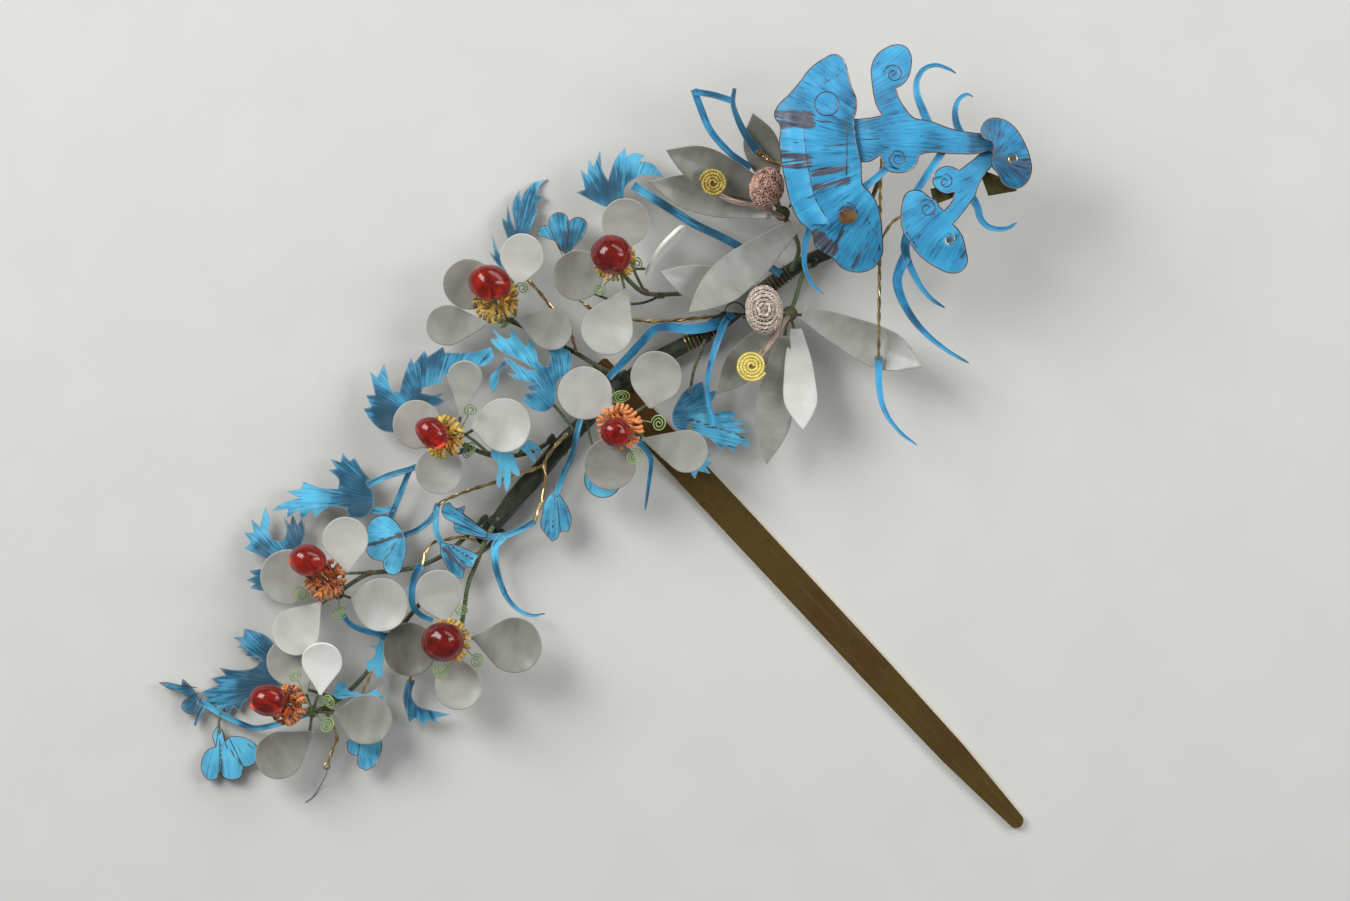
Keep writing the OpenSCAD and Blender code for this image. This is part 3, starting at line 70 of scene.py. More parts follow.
# Petals: blossom, tip, round end, width, tip height, rise, roll, and how pale the shell is drawn, which holds painted
# light and shade as well as the shell's own tone
PETALS = [
    (1, (61.3, 40.8), (56, 52), 9.8, 6.9, -4, 0, 0.4),
    (1, (64, 41), (64.6, 51.9), 8.2, 8, 19, 0, 1),
    (1, (66.5, 37.4), (78.4, 35), 10.2, 6.9, 3, 0, 0.22),
    (1, (62.8, 33.8), (51.8, 26), 9.6, 6.9, -2, 0, 0.2),
    (2, (63.5, 63.7), (52, 65.4), 11, 9, 2, 0, 0.35),
    (2, (69.3, 65.3), (68.9, 76.8), 9.2, 8.9, 8, 0, 0.6),
    (2, (69.9, 60.2), (81.6, 58), 10.8, 8.9, 6, 0, 0.42),
    (2, (64.2, 59.6), (56, 50), 9.6, 8.9, 3, 0, 0.55),
    (3, (89.3, 55.5), (86.6, 66.1), 9.4, 8.9, 8, 0, 0.45),
    (3, (94.3, 52.5), (108.4, 49.9), 11.2, 8.9, 4, 0, 0.2),
    (3, (91.6, 48.6), (91.7, 37.9), 9.5, 8.9, 6, 0, 0.4),
    (3, (88, 51), (76.8, 49.4), 10.8, 8.7, -8, 0, 0.06),
    (4, (89, 93.5), (78.7, 96.6), 9.7, 11.4, 4, 0, 0.4),
    (4, (92.2, 96.6), (93.4, 108.2), 7, 11.4, 14, 0, 0.4),
    (4, (94.2, 94.5), (106.4, 95.3), 10.9, 11.4, 5, 0, 0.5),
    (4, (88.6, 91.3), (87.2, 81.3), 9.6, 11.4, -6, 0, 0.4),
    (5, (99.6, 119.4), (89.4, 125.9), 10.2, 9.3, -3, 0, 0.2),
    (5, (98, 115.3), (85.3, 114.8), 8.3, 8.2, -6, 0, 0.3),
    (5, (103.6, 122.6), (105, 133.4), 8.9, 9.3, 8, 0, 0.6),
    (5, (102.6, 116.6), (114.2, 112.8), 8.4, 9.3, -2, 0, 0.3),
    (6, (121, 125.6), (110.6, 124.3), 10.1, 11.8, -2, 0, 0.2),
    (6, (124.8, 130.2), (125.5, 140.5), 9.7, 11.8, 10, 0, 0.35),
    (6, (125.7, 122.7), (119.2, 109.6), 10.4, 11.8, -3, 0, 0.45),
    (6, (128.3, 125.2), (135.8, 135.7), 8.6, 12.5, 6, 80, 1),
    (7, (122.5, 97.6), (112.6, 104.4), 10.8, 12.4, -2, 0, 0.45),
    (7, (130, 98.2), (132.3, 109.8), 10.4, 12.4, 6, 0, 0.4),
    (7, (128, 92.4), (141.4, 88.6), 8.6, 12.4, -3, 0, 0.35),
    (7, (123.8, 92.6), (120.4, 82.2), 10.4, 12.4, 4, 0, 0.25),
]
# Green coils: blossom, centre, outer radius
COILS = [
    (1, (59.2, 45, 11.6), 1.6), (1, (65.8, 39.6, 9.4), 1.7), (1, (65.3, 34.8, 9.2), 1.9),
    (2, (60, 61.3, 11.12), 1.8), (2, (67.8, 57.3, 11.4), 1.9), (3, (88, 45.8, 11.2), 1.9),
    (3, (95.4, 47.8, 12), 1.7), (3, (92.5, 58, 12), 1.6), (4, (94.3, 98, 14.6), 1.6),
    (4, (93.8, 89.8, 14), 2), (5, (101, 114.8, 12), 1.4), (5, (104.5, 122.4, 11.5), 1.5),
    (6, (119.8, 122, 14.6), 1.5), (6, (127.6, 127.2, 14.2), 1.6), (7, (124.3, 100.7, 16), 2.2),
    (7, (131.8, 95.3, 15.4), 1.9), (7, (126.9, 88.6, 15.6), 2),
]
# Lilies: hub, knot, knot length, width and spin, disc, disc radius
LILIES = [
    ((156.5, 137.3, 12.2), (153.3, 142.4, 17.9), 8.6, 7.2, 75, (142.6, 143.3, 16.4), 3.0),
    ((158, 117.3, 9.6), (152.8, 118, 14.6), 10.6, 7.8, 95, (150.3, 106.8, 13), 3.3),
]
# Lily petals: lily, base, tip, width, base height, rise, widest part, paleness; the paleness holds painted light and
# shade as well as the shell's own tone
LILY_PETALS = [
    (1, (154.4, 140.8), (133, 150), 7.8, 12, 2, 0.62, 0.1),
    (1, (154.4, 137.4), (129.7, 143.6), 7.4, 10.6, -2, 0.6, 0.2),
    (1, (154.4, 143.2), (150.4, 157.6), 7.4, 12.6, 8, 0.5, 0.2),
    (1, (158.6, 134.6), (137.4, 117.2), 8.4, 11.4, 4, 0.6, 0.26),
    (2, (155.6, 118.5), (131.7, 125.7), 8.2, 8.4, 2, 0.6, 0.4),
    (2, (155.4, 114.6), (143.2, 101.2), 7.4, 7.6, -2, 0.5, 0.15),
    (2, (156.8, 112.8), (153.3, 87), 7.4, 8.4, 0, 0.62, 0.2),
    (2, (159.2, 114.2), (160.6, 93.7), 6.8, 8.8, 4, 0.66, 0.62),
    (2, (160.6, 117.4), (184.7, 106.5), 8.2, 8.6, 2, 0.66, 0.3),
]
# Wound stalks of the lilies' discs
DISC_STALKS = [
    [(142.6, 142.2, 16.1), (144.5, 140.6, 15.9), (148, 139.3, 15.2), (152, 138.6, 14.6), (154.6, 137.4, 14.1),
     (156.6, 136.5, 13)],
    [(150.8, 107.8, 12.8), (152.8, 109.8, 12.8), (154.6, 112.2, 12.6), (156.2, 114.8, 12), (157.6, 116.6, 10.9)],
]
# Main stem, with its radius
STEM = [
    (95.5, 71.5, 3, 1.2), (99, 75.5, 3.1, 1.6), (104.5, 82, 3.2, 2), (111, 89.5, 3.3, 1.8), (118, 97, 3.1, 1.7),
    (124, 103, 3.1, 1.7), (132, 108.5, 3.1, 1.7), (141, 113.5, 3, 1.7), (150, 120, 2.6, 1.6), (158, 126, 2, 1.5),
    (167.5, 130.5, 1.4, 1.4),
]
# Twigs: to the seven blossoms, the two lilies and the cloud
TWIGS = [
    [(100.7, 74, 3.1), (97, 70.2, 3), (93.5, 68, 3), (88, 63.5, 3.1), (82, 57, 3.4), (76.5, 49.5, 3.9),
     (71.5, 43.5, 4.3), (67.5, 40, 4.6), (64, 38.3, 4.8), (62.3, 37.6, 5.2)],
    [(97.3, 77, 3.1), (93.8, 73.3, 3.1), (89, 69.3, 3.6), (84, 66.8, 4.2), (79, 65.8, 5), (74, 65.3, 5.7),
     (70.5, 63.5, 6.8), (67.5, 61.3, 7.2)],
    [(99.6, 76.4, 5.5), (97, 72, 5.2), (95.3, 67.5, 4.6), (93.5, 63, 4.6), (92.7, 58, 5.4), (92.2, 55, 6.4),
     (91, 52.2, 7.2)],
    [(110.6, 93.2, 3.5), (109.1, 91.2, 3.5), (105, 89.3, 4.6), (100, 88.7, 6.2), (96, 89.6, 7.6), (93, 91, 9),
     (91, 91.8, 9.7)],
    [(126, 104.5, 5.5), (121, 106, 5.4), (115, 109.5, 5.2), (108, 113, 5.4), (104, 115, 6), (101.6, 116, 7),
     (100.2, 116.5, 7.7)],
    [(151, 120.8, 4.9), (144, 121.6, 5.6), (136, 121.3, 6.6), (129.5, 121.3, 8.2), (126.3, 123.4, 9.4),
     (123.9, 126.2, 10.2)],
    [(122.3, 102.2, 5.36), (123.6, 99.4, 7.4), (124.5, 97.2, 9.6), (124.8, 96.3, 10.7)],
    [(158.4, 126.1, 4.12), (159.8, 130, 6.4), (158.6, 134, 9), (156.5, 137.3, 10.9)],
    [(163.4, 128.5, 3.78), (161.8, 127, 4.1), (160.4, 124.4, 5), (159.2, 120.4, 6.4), (158, 117.3, 8.3)],
    [(165.6, 129.6, 3.62), (167.8, 130.9, 3.8), (170.5, 133.5, 7), (173.6, 138.5, 13), (176, 144.5, 18.5),
     (178.4, 149.4, 22.4), (180.2, 152, 24.4)],
]
# Twisted gilt wires between the sprays
GILT_WIRES = [
    [(113.4, 93.4, 6), (110.8, 90.6, 6.3), (108.9, 87.6, 6.3), (109, 84, 6.2), (108.4, 80.2, 6.4),
     (106.8, 75.7, 7.1)],
    [(108.9, 87, 6.3), (105, 85.6, 6.4), (100, 83.9, 6.4), (94, 82, 6.4), (89.5, 80.2, 6.8), (87.3, 78.9, 7)],
    [(95.2, 71.8, 4.8), (92, 72.5, 4.7), (88.5, 71.9, 4.4), (86.4, 71.3, 4.6), (85, 69.5, 5.4), (84.2, 67, 6.2)],
    [(81.8, 43.4, 4.6), (82.6, 47, 4.9), (85.5, 50.5, 5.4), (89.95, 52.08, 6.6)],
    [(72.3, 41.3, 6.55), (74.2, 45.6, 6.05)],
    [(65.2, 37, 5.62), (67.2, 32.6, 5.9), (66.6, 30.6, 5.8), (65.4, 27.2, 5.6)],
    [(104.4, 125, 7.4), (107, 122.6, 6.8), (110.5, 118.3, 6.2), (113.2, 115.6, 5.8), (115.3, 109.7, 6.24)],
    [(115.6, 120.4, 9.8), (118.4, 118.2, 9), (124, 116.6, 6.6), (131, 115.8, 5.8), (139, 116.4, 5.4),
     (143.2, 116.9, 4.42)],
    [(151.3, 149.8, 17), (152.4, 148.8, 16.9), (154, 147.7, 16.4), (156.6, 146.6, 14.6), (158, 143, 13),
     (158.4, 139.6, 12), (157.8, 138.6, 11.7)],
    [(176.2, 148, 23.85), (176, 145, 22.6), (175.9, 135, 18.6), (175.8, 120, 14.6), (175.7, 107.9, 13.2)],
    [(174.6, 129.8, 18.5), (176.4, 132.5, 19.6), (178.6, 135.6, 21.4), (181.4, 137.2, 22.9)],
]
# Feather plates of each node: a point on the plate, the point from which its barbs fan out, and how pale it is drawn,
# which holds painted light and shade as well as the feather's own tone
PLATES = {
    "leaf_low_left": [((50, 45), (60, 42.5), -0.45)],
    "leaf_left": [((56, 66), (61, 63.5), -0.05)],
    "leaf_far_left": [((69, 81), (77, 80), 0)],
    "leaf_upper_left": [((78, 98), (85, 96), 0)],
    "leaf_middle": [((110, 103), (113, 96), 0.4), ((99, 104), (102, 109), 0.3)],
    "leaf_short": [((100.5, 88), (100.5, 93), 1.5), ((105, 90), (102.5, 92), 1.6)],
    "leaf_top_left": [((104, 136), (102, 128), -0.35), ((100.2, 127.8), (103, 124.5), 0.3)],
    "leaf_top": [((122.5, 142), (123.6, 135), 0.1)],
    "leaf_right": [((139, 97), (131, 96), 0.25), ((139.5, 88), (137, 92), 1.4)],
    "leaf_low": [((75.8, 48), (78, 56), 0.95), ((70, 41), (62, 41), 1.2), ((81.8, 41), (82, 46), 0.2)],
    "spray_low": [((45.5, 29), (43.6, 36), 1.3), ((38, 39), (41, 42), 0.3)],
    "spray_side": [((77, 71.5), (80.2, 73), 1.15), ((91, 68.8), (87, 73.5), 0.4)],
    "spray_stem": [((92.5, 75.5), (100, 71.5), 0.3)],
    "buds": [((111, 77), (111, 84), 0.5), ((113, 134), (113.2, 127), 0), ((72.8, 30), (72.5, 36), 1.1),
             ((120.6, 84.2), (119, 92), 1.1)],
}
# Strokes where a plate has lost its feather between the lobes, each with its two ends, half width and depth
WEAR = {
    "spray_side": [((73.4, 70.8), (79, 72.6), 0.5, 1.5), ((79.4, 72.8), (79.9, 72.9), 0.9, 1.5),
                   ((76.8, 66.6), (78.8, 71.4), 0.22, 1.2), ((78.3, 66), (79.3, 70), 0.18, 1),
                   ((88.7, 70.3), (93.2, 65.5), 0.55, 1.4), ((89.4, 70.9), (95.2, 67.8), 0.25, 1.1)],
    "buds": [((113, 130), (113.6, 136), 0.35, 1.2), ((110.9, 81), (110.6, 74), 0.25, 1)],
    "spray_low": [((43.9, 31.4), (44, 24.6), 0.3, 1.2), ((44.4, 31.4), (48.6, 26), 0.3, 1.2)],
    "leaf_right": [((137, 96.5), (149, 92.6), 0.3, 1.1), ((138, 98), (146, 96.8), 0.3, 1)],
}
# How pale the feather of a node's tendrils or of its cloud plate is, where it isn't middling
TONES = {
    "leaf_top": 0.2, "lily_tendrils": 0.1, "cloud_fan": 0.6, "cloud_branch": 0.45, "cloud_cap": 0,
    "cloud_head": 0.7,
}
# Flat tendrils of each node: the route, the width at its root and the width at its tip
STRIPS = {
    "leaf_far_left": [
        ([(73.4, 83, 5.3), (78, 85, 5.8), (82, 86.2, 6.4), (88, 88.6, 7), (94.6, 90.4, 7.25)], 1.3, 1.1),
        ([(73.6, 78, 5.3), (76, 77.8, 5.35), (78.8, 78.2, 5.4)], 1.4, 1.1),
        ([(78, 76.4, 5.3), (79.6, 80.4, 5.6), (81.9, 86.2, 6.3)], 1.3, 1.1)],
    "leaf_top": [([(126.6, 143, 6.9), (130, 140.9, 7), (134.5, 138, 7.1), (139, 135.2, 7.2), (146, 131.8, 7.2),
                   (152, 128, 6.2), (156.2, 125.2, 4.08)], 1.8, 1.6)],
    "spray_low": [
        ([(37.8, 40.6, 2), (41, 38.7, 2.2), (45, 36.4, 2.4), (49, 34.6, 2.6), (51.5, 34.2, 2.8), (56, 35.2, 3.2),
          (62.2, 37.4, 3.85)], 1.3, 1.1),
        ([(38.6, 34.7, 2), (39.4, 36.8, 2.1), (40.6, 38.9, 2.2)], 0.5, 1.1)],
    "spray_side": [
        ([(87.5, 79.3, 6.15), (86.4, 76.6, 6.2), (83.4, 74, 6.25), (80, 72.7, 6.25)], 1.2, 1.2),
        ([(87.2, 78.6, 6.15), (87, 75, 6.2), (87.5, 72.6, 6.25), (88.6, 70.8, 6.25)], 1.3, 1.2)],
    "spray_stem": [
        ([(107, 75.7, 6.2), (104.5, 74.3, 6.2), (101.5, 73, 6.2), (98, 72.6, 6.15), (95, 73.2, 6.15)], 1.2, 1.4),
        ([(100.6, 72.9, 6.2), (99, 70.6, 6.2), (99, 67, 6), (100, 63.5, 5.6), (101.2, 60.6, 5.2), (103.5, 58, 4.8),
          (106.3, 56.8, 4.6), (108.9, 57.2, 4.4)], 1.9, 0.5)],
    "buds": [([(110.9, 80.4, 6.2), (112.6, 85, 6.8), (114.6, 89.6, 7.2), (115.6, 94.4, 7.2), (116.6, 97.2, 6.4),
               (118.4, 98.2, 5.3)], 1.3, 1.1)],
    "middle_tendrils": [
        ([(146.6, 117.4, 4.8), (145.2, 116, 6), (143.6, 112, 7.4), (142.2, 107.5, 7.8), (141.4, 103, 7.8),
          (141.9, 99, 7.7), (143.3, 94.8, 7.4)], 1.7, 0.7),
        ([(144.4, 115.6, 5), (141, 114.6, 6.6), (137.5, 114.2, 7.4), (134, 114.6, 7.6), (131, 114.2, 7.4),
          (128, 111.2, 7.2), (124.6, 107.6, 7.2), (121.7, 104.4, 7.4)], 2.2, 1.4),
        ([(121.3, 100.3, 5.2), (124.5, 95, 5.6), (128.5, 90.8, 6), (130.2, 88, 6), (129.7, 83, 6), (129, 77.9, 5.8)],
         1.7, 0.5),
        ([(84.2, 67, 5.3), (82.8, 64.6, 5.2), (82.2, 61, 5), (82.6, 58.4, 5), (84.2, 56.8, 5.2), (86.4, 55.8, 5.4)],
         1.7, 0.9),
        ([(68.3, 57.2, 5.8), (69.6, 55.4, 5.8), (72, 54, 5.85), (77.1, 52.7, 5.9)], 1, 1.2)],
    "lily_tendrils": [
        ([(150.2, 146.4, 15.4), (146, 149.3, 15.8), (142.2, 153.6, 16.4), (140.2, 158, 16.8), (138.8, 162, 17.1)],
         1.3, 1.5),
        ([(138.9, 161.5, 17.1), (142.6, 160.9, 16.9), (146.5, 159.7, 16.6)], 1.3, 1.3),
        ([(151.7, 149.4, 16.1), (150, 151.6, 16.3), (148, 155, 16.5), (146.6, 159, 16.6), (146.9, 162.2, 16.7)],
         1.9, 0.8)],
    "cloud_tendrils": [
        ([(185.7, 154.2, 24.5), (184.3, 157.6, 24.8), (183.2, 160.6, 25), (183.1, 163.4, 25), (184.4, 165.7, 24.9),
          (186.8, 166.6, 24.7), (189.3, 165.9, 24.4), (190.9, 165, 24.1)], 1.9, 0.5),
        ([(192, 152.4, 24.08), (190.9, 155.5, 24.3), (190.8, 158, 24.4), (191.7, 160, 24.3), (193.2, 160.8, 24.1),
          (194.3, 160.3, 23.9)], 1.8, 0.6),
        ([(193.6, 141.2, 23.35), (195.2, 138.4, 23), (195.8, 136.2, 22.7), (197.3, 134.5, 22.4), (199.5, 134, 22.1),
          (201.5, 134.3, 21.8), (203.1, 135.3, 21.5)], 1.8, 0.7),
        ([(162.8, 136, 22.6), (161.3, 132.5, 21.1), (160.8, 129.5, 20.2), (160.9, 126.5, 19.4), (161.9, 123.9, 18.4),
          (163.2, 122.2, 17.7), (164.7, 121.2, 17.2)], 1.6, 0.5),
        ([(182.2, 135, 22.85), (180.9, 131.5, 22.2), (181, 129, 21.6), (182, 126.3, 20.8), (184, 122.6, 19.6),
          (186.3, 120, 18.6), (188.8, 118.4, 17.8)], 2.2, 0.6),
        ([(175.7, 108.8, 12.4), (175.7, 105, 12.4), (175.9, 102, 12.3), (176.5, 99, 12.1), (178, 96, 11.9),
          (180.4, 93.2, 11.6), (183.4, 91, 11.2)], 1.7, 0.5),
        ([(171.6, 141.4, 23.2), (174.6, 143.8, 23.6), (178.2, 147, 24.2)], 1.6, 1.4),
        ([(182.6, 140.8, 23), (185, 144.5, 23.7), (188.4, 149.6, 24.4)], 1.5, 1.5),
        ([(181, 128.6, 21.5), (179.8, 126, 20.8), (179.3, 123.5, 20), (180.3, 120, 18.6), (182.5, 116.2, 17),
          (185.6, 112.8, 15.4), (189.5, 109.8, 13.8), (193.7, 107.4, 12.4)], 2.3, 0.5)],
}
# Wound wire stalks of each node: the route and its radius
STALKS = {
    "leaf_low_left": [([(55.5, 43.6, 2.9), (61, 42, 3.1), (67.6, 40, 3.5)], 0.35)],
    "leaf_left": [([(58, 66, 4.9), (64, 65.3, 4.7), (74.6, 65.4, 4.55)], 0.35)],
    "leaf_upper_left": [([(82, 98.6, 6.3), (89, 95.5, 6.2), (94.5, 92, 5.9), (98.4, 88.6, 5.7)], 0.35)],
    "leaf_middle": [([(109.5, 100.5, 8.1), (112, 97.5, 7.2), (114.8, 94, 5.55)], 0.35)],
    "leaf_short": [([(105.4, 91, 7.2), (104.4, 90.2, 6.7), (103.6, 89, 6.12)], 0.35)],
    "leaf_top_left": [([(102.6, 132.6, 3.9), (102.2, 127, 4.6), (102.6, 121, 5), (103.2, 115.3, 5.15)], 0.35)],
    "leaf_top": [([(123.6, 139.4, 7.2), (124.4, 133, 7.1), (126.8, 126, 7), (129.3, 121, 7.18)], 0.35)],
    "leaf_right": [([(138, 101.6, 6.3), (138.8, 106, 6), (140.3, 110, 5.6), (141.6, 113.8, 5.25)], 0.35),
                   ([(139.4, 89.4, 7.3), (137.6, 92, 6.8), (138, 95, 6.3)], 0.35)],
    "spray_low": [([(43.6, 33, 1.9), (43.4, 35, 2), (43.8, 37.3, 2.3)], 0.35)],
    "buds": [([(113.2, 131, 6.3), (113.4, 127, 6.4), (117, 122.5, 6.5), (123, 119.8, 6.4), (128, 119.4, 6.3),
               (132.9, 121.2, 6.36)], 0.3),
             ([(72.4, 30.8, 4.7), (70.5, 34.5, 4.5), (67, 37.4, 4.1), (63.6, 38, 3.85)], 0.3),
             ([(120.4, 86, 9.7), (118.4, 91, 7.6), (117.2, 96, 5.25)], 0.3)],
}
# Cloud plates: a point on the plate, the barbs' root, the dome's middle, crown height and radius,
# then the strokes of wear, each with its two ends, its half width and its depth
CLOUDS = {
    "cloud_fan": ((165, 145), (182, 150), (165, 150, 26.2, 45), [
        ((155.6, 156.9), (161.8, 156.4), 1.6, 1.2), ((155.8, 155), (162, 154.8), 1.5, 1.3),
        ((156.2, 148.8), (161.4, 147.9), 1.5, 1.15), ((156.6, 146.6), (161.6, 146.4), 1.1, 0.9),
        ((164.6, 150.3), (172.6, 151.2), 0.4, 0.8), ((162.6, 144.9), (169, 146.3), 1.3, 1.05),
        ((163.2, 142.2), (169.2, 143.6), 1.3, 1.1), ((164.6, 140.6), (167.4, 141.4), 0.4, 0.7),
        ((169.3, 137), (169.35, 137), 2.3, 1.6), ((163, 132.6), (166.2, 130), 2, 1.5),
        ((166.6, 130.4), (168.6, 133.6), 0.5, 0.9), ((170.9, 156.4), (171.2, 159.6), 0.7, 1),
        ((170.8, 160.4), (169.6, 163), 0.45, 0.8), ((170.4, 126.4), (172.9, 130.8), 0.6, 1.1),
        ((173.4, 131.2), (174.9, 127.2), 0.35, 0.75), ((170.4, 132.4), (172, 134.6), 0.35, 0.7),
        ((169, 129.6), (170.4, 132.2), 0.35, 0.7), ((175, 134), (175.9, 129.6), 0.35, 0.7),
        ((173, 136.4), (174.6, 133.6), 0.35, 0.65), ((159.4, 160), (165, 156.9), 0.35, 0.65),
        ((163, 155.2), (169.4, 155.6), 0.4, 0.7), ((164.6, 163), (168.4, 165.2), 0.35, 0.6)]),
    "cloud_branch": ((180, 152), (158, 152), (184, 153, 26, 60), [
        ((178.5, 164.8), (178.6, 164.8), 1.5, 0.62), ((172.4, 151.6), (175.4, 152), 0.35, 0.75),
        ((179.2, 148), (179.4, 148), 1, 0.6), ((194, 150.6), (198.4, 150.3), 0.45, 0.75),
        ((171.6, 154.2), (174.6, 154.4), 0.35, 0.6), ((184, 153.6), (187.6, 153), 0.35, 0.55)]),
    "cloud_head": ((186, 134), (199, 147), (190, 138, 24.9, 60), [
        ((189.5, 131.8), (189.6, 131.8), 1, 1), ((181, 133.4), (183.4, 130), 0.4, 0.7),
        ((190.4, 127.2), (192.2, 128.6), 0.5, 0.8), ((185.2, 138), (185.3, 138), 1.2, 0.6),
        ((193, 143.4), (195.4, 145.6), 0.4, 0.6)]),
    "cloud_cap": ((203, 150), (198, 148), (201.5, 149, 26.85, 22), [
        ((201.2, 147.8), (202.6, 148), 0.8, 1.2), ((197.6, 154), (200, 152.6), 1.4, 0.7),
        ((200, 148), (204, 146), 4.5, 0.7)]),
}
# Scroll wires on the cloud plates: plate, eye, radius, turns
SCROLLS = [
    ("cloud_fan", (165.2, 158.9), 2.4, 1.0), ("cloud_fan", (169.3, 137), 2.35, 1.2),
    ("cloud_branch", (178.5, 164.8), 2.1, 1.4), ("cloud_branch", (179.4, 148), 2.0, 1.7),
    ("cloud_head", (185.2, 138), 2.0, 1.3), ("cloud_head", (189.5, 131.8), 1.4, 1.2),
    ("cloud_head", (188.8, 143.4), 1.6, 1.2), ("cloud_cap", (202, 147.8), 1.3, 1.3),
]
# Seam wires on the cloud plates; the first parts the fan from its rolled band
SEAMS = [
    ("cloud_fan", [(160.6, 157.4), (160.8, 151.8), (161.6, 145.8), (163.1, 139.8), (166.1, 134.9)]),
    ("cloud_fan", [(169.1, 155.2), (169.2, 150), (169.1, 144.6)]),
    ("cloud_fan", [(168.6, 134.8), (167.2, 131.6), (166.5, 128.6)]),
]

# Thickness of the shell petals, of the leaves' sheet and of the cloud's sheet
SHELL, LEAF_SHEET, CLOUD_SHEET = 0.8, 0.5, 0.55
# The two kinds of petal: where along its length a petal is hollowed deepest, and the radius of its hollow
PETAL_LOW, PETAL_DISH = 0.45, 26.0
LILY_LOW, LILY_DISH = 0.4, 34.0
# Radii of a wound twig, of both strands of a gilt wire together, of a bead's pin and of its bore
TWIG, GILT_WIRE, PIN, PIN_BORE = 0.47, 0.36, 0.28, 0.55
# Radius of a petal's arm, and how far along the petal it is seated
ARM, ARM_SEAT = 0.3, 1.3
# Length in which the two strands of a gilt wire turn once round each other, and those of a knot's cord
GILT_LAY, CORD_LAY = 5.5, 1.25
# Sheet under the feathers, and the wire round a feather plate
BACK, EDGE = "bare_gilt_sheet", "worn_gilt"
# Cross-section of a flat tendril: a shallow channel between two thin rims
RIBBON = [(-1, -1), (1, -1), (1, 0.8), (0.9, 1), (0.72, 0.72), (0, 0.45), (-0.72, 0.72), (-0.9, 1), (-1, 0.8)]
# Cross-section of a shell petal, from its middle over the top to its edge and back below: the share of its
# outline and the share of its thickness
PETAL_SECTION = [
    (0.03, 1), (0.28, 1), (0.5, 1), (0.68, 1), (0.82, 1), (0.92, 1), (0.97, 0.97), (0.992, 0.82), (1, 0.5),
    (0.992, 0.2), (0.97, 0.04), (0.9, 0), (0.6, 0), (0.3, 0), (0.03, 0),
]
# Share of the width at the last four points of a tendril that ends in a point
POINTED = (0.95, 0.8, 0.6, 0.3)
# Turn in radians from each stitched loop of a knot to the next, which spreads them evenly
GOLDEN_ANGLE = 2.39996


# Shapes

def place(p):
    """A layout point in millimetres as a point of the frame in metres."""
    return (Vector(p) - MIDDLE) / 1000


def laid(base, height, turn, rise, roll=0):
    """Where a piece lies: on a heading, its far end raised, rolled about its length."""
    return (Matrix.Translation((base[0], base[1], height)) @ Matrix.Rotation(math.radians(turn), 4, "Z")
            @ Matrix.Rotation(math.radians(-rise), 4, "Y") @ Matrix.Rotation(math.radians(roll), 4, "X"))


def aimed(start, way):
    """A place at start whose Z axis points along way."""
    return Matrix.Translation(start) @ Vector(way).to_track_quat("Z", "Y").to_matrix().to_4x4()


def heading(a, b):
    """The compass turn from one point to another on the sheet, in degrees."""
    return math.degrees(math.atan2(b[1] - a[1], b[0] - a[0]))


def bearing(path, i):
    """The way a path runs at one of its points."""
    return (path[min(i + 1, len(path) - 1)] - path[max(i - 1, 0)]).normalized()


def across(way):
    """The level direction across a way, and the one square to both."""
    side = way.cross(UP).normalized()
    return side, side.cross(way)


def pointing(tilt, turn):
    """The direction that leans from straight up by a tilt, towards a turn; both in radians."""
    return Vector((math.sin(tilt) * math.cos(turn), math.sin(tilt) * math.sin(turn), math.cos(tilt)))


def twine(points, sides, lay, reach):
    """Two strands wound about a line, a turn in each lay; sides gives two directions across it at each point."""
    travelled, strands = 0.0, ([], [])
    for i, (p, (one, two)) in enumerate(zip(points, sides)):
        travelled += (p - points[i - 1]).length if i else 0
        a = 2 * math.pi * travelled / lay
        off = (one * math.cos(a) + two * math.sin(a)) * reach
        strands[0].append(p + off)
        strands[1].append(p - off)
    return strands


def smooth(rows, step=0.6):
    """A flowing curve through rows of numbers, with a point about every step millimetres."""
    rows = [tuple(r) for r in rows]
    rows = [tuple(2 * a - b for a, b in zip(rows[0], rows[1]))] + rows
    rows.append(tuple(2 * a - b for a, b in zip(rows[-1], rows[-2])))
    curve = []
    for i in range(1, len(rows) - 2):
        before, start, end, after = rows[i - 1:i + 3]
        count = max(1, round(math.dist(start[:3], end[:3]) / step))
        for j in range(count):
            t = j / count
            curve.append(tuple(
                b + 0.5 * t * (c - a + t * (2 * a - 5 * b + 4 * c - d + t * (3 * b - a - 3 * c + d)))
                for a, b, c, d in zip(before, start, end, after)))
    return curve + [rows[-2]]


def soften(corners, step=0.4, sharp=62):
    """Rounds an outline's gentle corners and keeps its points sharp."""
    count = len(corners)
    flat = [Vector(c[:2]) for c in corners]
    ways = []
    for i, here in enumerate(flat):
        back, on = here - flat[i - 1], flat[(i + 1) % count] - here
        keen = math.degrees(back.angle(on, 0)) > sharp
        through = (back.normalized() + on.normalized()).normalized()
        ways.append((back.normalized(), on.normalized()) if keen else (through, through))
    line = []
    for i, start in enumerate(flat):
        end = flat[(i + 1) % count]
        reach = (end - start).length
        leave, arrive = ways[i][1] * reach, ways[(i + 1) % count][0] * reach
        pieces = max(2, round(reach / step))
        for j in range(pieces):
            t = j / pieces
            line.append(start * (1 + t * t * (2 * t - 3)) + end * t * t * (3 - 2 * t)
                        + leave * t * (1 - t) ** 2 + arrive * t * t * (t - 1))
    return line


def within(p, line):
    """Whether a flat point lies inside a closed outline."""
    inside, last = False, line[-1]
    for here in line:
        if (here.y > p.y) != (last.y > p.y):
            if p.x < (last.x - here.x) * (p.y - here.y) / (last.y - here.y) + here.x:
                inside = not inside
        last = here
    return inside


